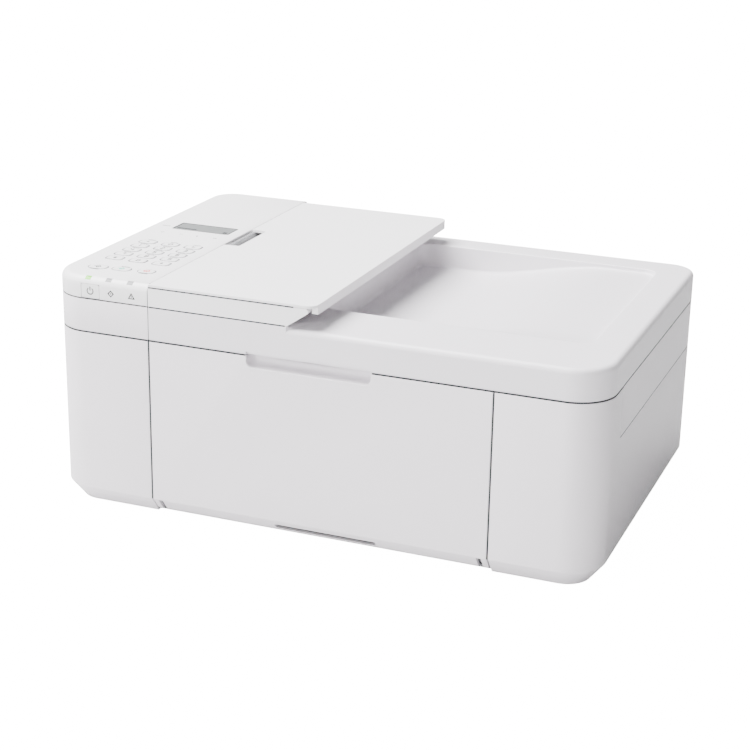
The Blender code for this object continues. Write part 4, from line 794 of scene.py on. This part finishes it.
face_seam("tower_front_seam", (TOWER_X - SEAM + LID_LEFT) / 2,
          sampled([(FRONT, BEVEL_TOP), over[0]]).tolist() + over[1:], "body")
face_seam("door_right_seam", (door_high[0] + SEAM_X + SEAM) / 2,
          [(FRONT, BEVEL_TOP), (FRONT, CASE_TOP - 0.001)], "body")
level_seam("feeder_seam", np.array([(LID_LEFT + 0.0006, FRONT), (SEAT_X - 0.0008, FRONT)]), -1,
           SEAT_Z + 0.00015, "scanner_lid", FINE_HALF, PROUD)
level_seam("tray_seam", np.array([(LID_LEFT + 0.0006, FRONT), (tray_x - 0.009, FRONT)]), -1,
           frame_high[2] + 0.00015, "scanner_lid", FINE_HALF, PROUD)

# --- Printed marks and lamps -----------------------------------------------------------------
# Dark pad-printed symbols on the keys and the panel, 0.04 mm thick, equally thin rings of painted
# shade round the keys, and three little lamps let into the panel's rounded front edge. Only digits
# and plain shapes are printed.
ink = mottled("pad_printed_ink_grey", "#161618", "#101012", 1.5, 0.2, 0.5, 0.05, 0.00001)
ink_cyan = mottled("pad_printed_ink_green_blue", "#35c3a4", "#2fb899", 1.5, 0.2, 0.5, 0.05, 0.00001)
ink_red = mottled("pad_printed_ink_red", "#e8494f", "#df4248", 1.5, 0.2, 0.5, 0.05, 0.00001)
lamp_off = mottled("lamp_lens_grey_satin", "#7a7a7c", "#737375", 1.0, 0.3, 0.35, 0.05, 0.00001)
lamp_on = mottled("lamp_lens_green_lit", "#6fc413", "#58b40a", 1.5, 0.3, 0.3, 0.05, 0.00001)
lit = lamp_on.node_tree.nodes["Principled BSDF"].inputs
lit["Emission Color"].default_value = linear("#63c800")
lit["Emission Strength"].default_value = 0.6
INK = 0.00004


def stroke(points, width, closed=False):
    """Quads along a line of points: each side offset by half the width along the normal."""
    path = np.asarray(points, float)
    normals = inward_normals(path, 1, closed) * width / 2
    a, b = path + normals, path - normals
    ends = range(len(path) if closed else len(path) - 1)
    return [[a[k], b[k], b[(k + 1) % len(path)], a[(k + 1) % len(path)]] for k in ends]


def printed(name, shapes, place, material, body, upright=False):
    """Flat polygons in millimetres, given a thickness and laid on top or on the front face."""
    work = bmesh.new()
    for shape in shapes:
        layers = []
        for lift in (0.0, INK):
            if upright:
                spots = [(place[0] + u / 1000, place[1] - lift, place[2] + v / 1000)
                         for u, v in shape]
            else:
                spots = [(place[0] + u / 1000, place[1] + v / 1000, place[2] + lift)
                         for u, v in shape]
            layers.append([work.verts.new(spot) for spot in spots])
        count = len(shape)
        work.faces.new(layers[0][::-1])
        work.faces.new(layers[1])
        for k in range(count):
            work.faces.new([layers[0][k], layers[0][(k + 1) % count],
                            layers[1][(k + 1) % count], layers[1][k]])
    bmesh.ops.recalc_face_normals(work, faces=work.faces)
    mesh = bpy.data.meshes.new(name)
    work.to_mesh(mesh)
    work.free()
    mesh.materials.append(material)
    piece = bpy.data.objects.new(name, mesh)
    bpy.context.scene.collection.objects.link(piece)
    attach(piece, body)
    return piece


SEGMENTS = {"a": ((0, 1), (1, 1)), "b": ((1, 1), (1, .5)), "c": ((1, .5), (1, 0)),
            "d": ((0, 0), (1, 0)), "e": ((0, .5), (0, 0)), "f": ((0, 1), (0, .5)),
            "g": ((0, .5), (1, .5)), "m": ((.5, 1), (.5, 0)), "x": ((0, .2), (1, .8)),
            "y": ((0, .8), (1, .2))}
DIGITS = {"1": "m", "2": "abged", "3": "abgcd", "4": "fgbc", "5": "afgcd", "6": "afgedc",
          "7": "abc", "8": "abcdefg", "9": "abcdfg", "0": "abcdef", "*": "xym", "+": "gm"}


def digit(sign, high=4.0):
    """A digit drawn with straight strokes on a grid two units high and one wide."""
    shapes = []
    for key in DIGITS[sign]:
        line = (np.array(SEGMENTS[key], float) - 0.5) * (high * 0.58, high)
        shapes += stroke(line, high * 0.22)
    return shapes


KEY_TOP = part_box("keypad")[1][2]
SIGNS = ["*0+", "789", "456", "123"]
for row, signs in enumerate(SIGNS):
    for column, sign in enumerate(signs):
        x0, x1, y0, y1, _ = keys[f"key_{column}_{row}"]
        printed(f"digit_{column}_{row}", digit(sign), ((x0 + x1) / 2, (y0 + y1) / 2, KEY_TOP),
                ink, "keypad")
arrow = [(-2.0, 0), (0.8, 1.6), (0.8, -1.6)]
back_row = {0: [arrow], 1: stroke(arc(1.7, 0, 342), 0.8, True), 2: [[(-x, y) for x, y in arrow]]}
for column, shapes in back_row.items():
    x0, x1, y0, y1, _ = keys[f"key_{column}_4"]
    printed(f"sign_{column}_4", shapes, ((x0 + x1) / 2, (y0 + y1) / 2, KEY_TOP), ink, "keypad")
diamond = [(-2.2, 0), (0, -2.2), (2.2, 0), (0, 2.2)]
tip = [(-0.3, 0.9), (0.8, 0), (-0.3, -0.9)]
sent = stroke(diamond, 0.8, True) + [tip] + stroke([(-3.4, 0), (0.2, 0)], 0.7)
stop_mark = stroke(arc(2.2, 0, 342), 1.0, True) + [[(-1.0, -0.9), (1.0, -0.9), (0, 1.0)]]
for name, shapes, tone in (("black_start_key", sent, ink), ("colour_start_key", sent, ink_cyan),
                           ("stop_key", stop_mark, ink_red)):
    x0, x1, y0, y1, _ = keys[name]
    printed(name + "_sign", shapes, ((x0 + x1) / 2, (y0 + y1) / 2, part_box(name)[1][2]), tone,
            name)


def word(width, height=1.3):
    """A row of short bars that stands for a printed word."""
    starts = np.arange(-width / 2, width / 2 - 0.6, 1.05)
    return [[(x, -height / 2), (x + 0.75, -height / 2), (x + 0.75, height / 2), (x, height / 2)]
            for x in starts]


marks = []
WORD_SHIFT = 0.0062
for name, (x, _) in START_KEYS.items():
    y0, y1 = keys[name][2:4]
    shift = WORD_SHIFT if name == "colour_start_key" else -WORD_SHIFT
    marks.append((word(7), (x, (y0 + y1) / 2 + shift)))
for column in range(3):
    for row in range(1, 5):
        x0, x1, y0, y1, _ = keys[f"key_{column}_{row}"]
        marks.append((word(6), ((x0 + x1) / 2, y1 + 0.0026)))
for x, shapes in ((-0.195, stroke(arc(1.3, 0, 300), 0.45)),
                  (-0.178, stroke([(-1.6, 0), (1.6, 0)], 0.6)), (-0.1635, digit("+", 2.8)),
                  (-0.147, word(3.6, 1.3))):
    marks.append((shapes, (x, FRONT + 0.1415)))
marks.append((word(7, 1.3), (-0.202, 0.014)))
# A dark grey ring laid round each key along its gap is painted shade for that gap, not print.
key_gap_painted_shade = mottled("painted_key_gap_shade_grey", "#55555a", "#4d4d52", 1.5, 0.2, 0.5, 0.05,
                      0.00001)
for name, (x0, x1, y0, y1, radius) in keys.items():
    wide, deep = (x1 - x0) * 500 + 0.75, (y1 - y0) * 500 + 0.75
    ring = rounded_path([(-wide, -deep), (wide, -deep), (wide, deep), (-wide, deep)],
                        [radius * 1000 + 0.7] * 4, 5)
    printed(name + "_gap_shade", stroke(ring, 0.7, True), ((x0 + x1) / 2, (y0 + y1) / 2, PANEL_TOP),
            key_gap_painted_shade, "body")
for k, (shapes, (x, y)) in enumerate(marks):
    printed(f"panel_mark_{k}", shapes, (x, y, PANEL_TOP), ink, "body")
power_sign = stroke(arc(2.5, 125, 415), 0.8) + stroke([(0, 0.4), (0, 3.3)], 0.8)
printed("power_sign", power_sign, ((power_low[0] + power_high[0]) / 2, FRONT, 0.1781),
        ink, "power_button", True)
printed("data_sign", sent[:4] + [tip], (-0.1629, FRONT, 0.178), ink, "body", True)
warning = stroke([(-2.3, -1.6), (2.3, -1.6), (0, 2.2)], 0.8, True)
warning += stroke([(0, -0.9), (0, 0.7)], 0.6)
printed("warning_sign", warning, (-0.1455, FRONT, 0.178), ink, "body", True)
LAMP_HALF = 0.0024
for name, x, material in (("power_lamp", -0.183, lamp_on), ("data_lamp", -0.1656, lamp_off),
                          ("warning_lamp", -0.1476, lamp_off)):
    a = np.radians(np.linspace(40, 78, 9))
    bow = [np.stack([FRONT + PANEL_ROUND - r * np.cos(t), PANEL_TOP - PANEL_ROUND + r * np.sin(t)], 1)
           for r, t in ((0.00606, a), (0.0057, a[::-1]))]
    loop = np.concatenate(bow)
    sides = (x - LAMP_HALF, x + LAMP_HALF)
    skin(name, [np.column_stack([np.full(len(loop), side), loop]) for side in sides], material,
         "body")

# --- Display ---------------------------------------------------------------------------------
# A grey liquid-crystal window with a darker frame line, showing a row of short bars.
pane = mottled("display_pane_grey_satin", "#77797a", "#727475", 8.0, 0.3, 0.3, 0.04, 0.00001)
frame_line = rounded_path([(-25, -10), (25, -10), (25, 10), (-25, 10)], [0.8] * 4, 3)
spot = ((window_low[0] + window_high[0]) / 2, (window_low[1] + window_high[1]) / 2, window_high[2])
printed("display_frame", stroke(frame_line, 1.0, True), spot, ink, "body")
printed("display_bars", [[(x - 14, y - 5.5) for x, y in bar] for bar in word(18, 2.4)], spot, ink,
        "body")
printed("display_sign", [[(19, -7), (22.5, -7), (22.5, -3.5), (19, -3.5)]], spot, ink, "body")
dress(["lcd_window"], pane)

# --- Studio ----------------------------------------------------------------------------------
# A plain white floor that runs up behind, one large soft light above and to the left, and a weak
# fill from the front. The camera stands in front and to the right, a little above.
floor_mesh = bpy.data.meshes.new("studio_floor")
sweep = [(-4.0, 0.0), (2.2, 0.0)]
sweep += [(2.2 + 1.2 * math.sin(a), 1.2 - 1.2 * math.cos(a)) for a in np.radians(range(6, 91, 6))]
sweep += [(3.4, 4.5)]
floor_points = [(x, y, z) for y, z in sweep for x in (-5.0, 5.0)]
floor_faces = [(2 * k, 2 * k + 1, 2 * k + 3, 2 * k + 2) for k in range(len(sweep) - 1)]
floor_mesh.from_pydata(floor_points, [], floor_faces)
floor_mesh.shade_smooth()
paper, paper_shader = new_material("studio_paper_white")
paper_shader.inputs["Base Color"].default_value = linear("#c4c4c4")
paper_shader.inputs["Roughness"].default_value = 0.9
paper_shader.inputs["Emission Color"].default_value = (1, 1, 1, 1)
seen = add_node(paper, "ShaderNodeLightPath")
lift = add_node(paper, "ShaderNodeMath", {"operation": "MULTIPLY", 1: 16.0},
                n0=seen.outputs["Is Camera Ray"])
feed(paper, lift.outputs[0], paper_shader, "Emission Strength")
floor_mesh.materials.append(paper)
floor = bpy.data.objects.new("studio_floor", floor_mesh)
bpy.context.scene.collection.objects.link(floor)


def soft_light(name, place, target, size, power):
    data = bpy.data.lights.new(name, "AREA")
    data.shape = "RECTANGLE"
    data.size = size[0]
    data.size_y = size[1]
    data.energy = power
    light = bpy.data.objects.new(name, data)
    light.location = place
    light.rotation_euler = (Vector(target) - Vector(place)).to_track_quat("-Z", "Y").to_euler()
    bpy.context.scene.collection.objects.link(light)


soft_light("key_light", (-1.1, -0.25, 2.3), (0, 0, 0.1), (1.9, 1.9), 335)
soft_light("front_fill", (-0.5, -2.6, 0.8), (0, 0, 0.1), (2.0, 1.4), 84)
world = bpy.data.worlds.new("studio")
world.use_nodes = True
world.node_tree.nodes["Background"].inputs["Color"].default_value = (1, 1, 1, 1)
world.node_tree.nodes["Background"].inputs["Strength"].default_value = 0.28
bpy.context.scene.world = world

camera_data = bpy.data.cameras.new("camera")
camera_data.lens = 83.04
camera_data.sensor_width = 36
camera = bpy.data.objects.new("camera", camera_data)
right = Vector((0.9293, 0.3690, 0.0174))
up = Vector((-0.1373, 0.3012, 0.9436))
behind = Vector((0.3430, -0.8793, 0.3306))
camera.matrix_world = Matrix.Translation((0.4694, -1.2244, 0.5499)) @ Matrix(
    (right, up, behind)).transposed().to_4x4()
bpy.context.scene.collection.objects.link(camera)
bpy.context.scene.camera = camera
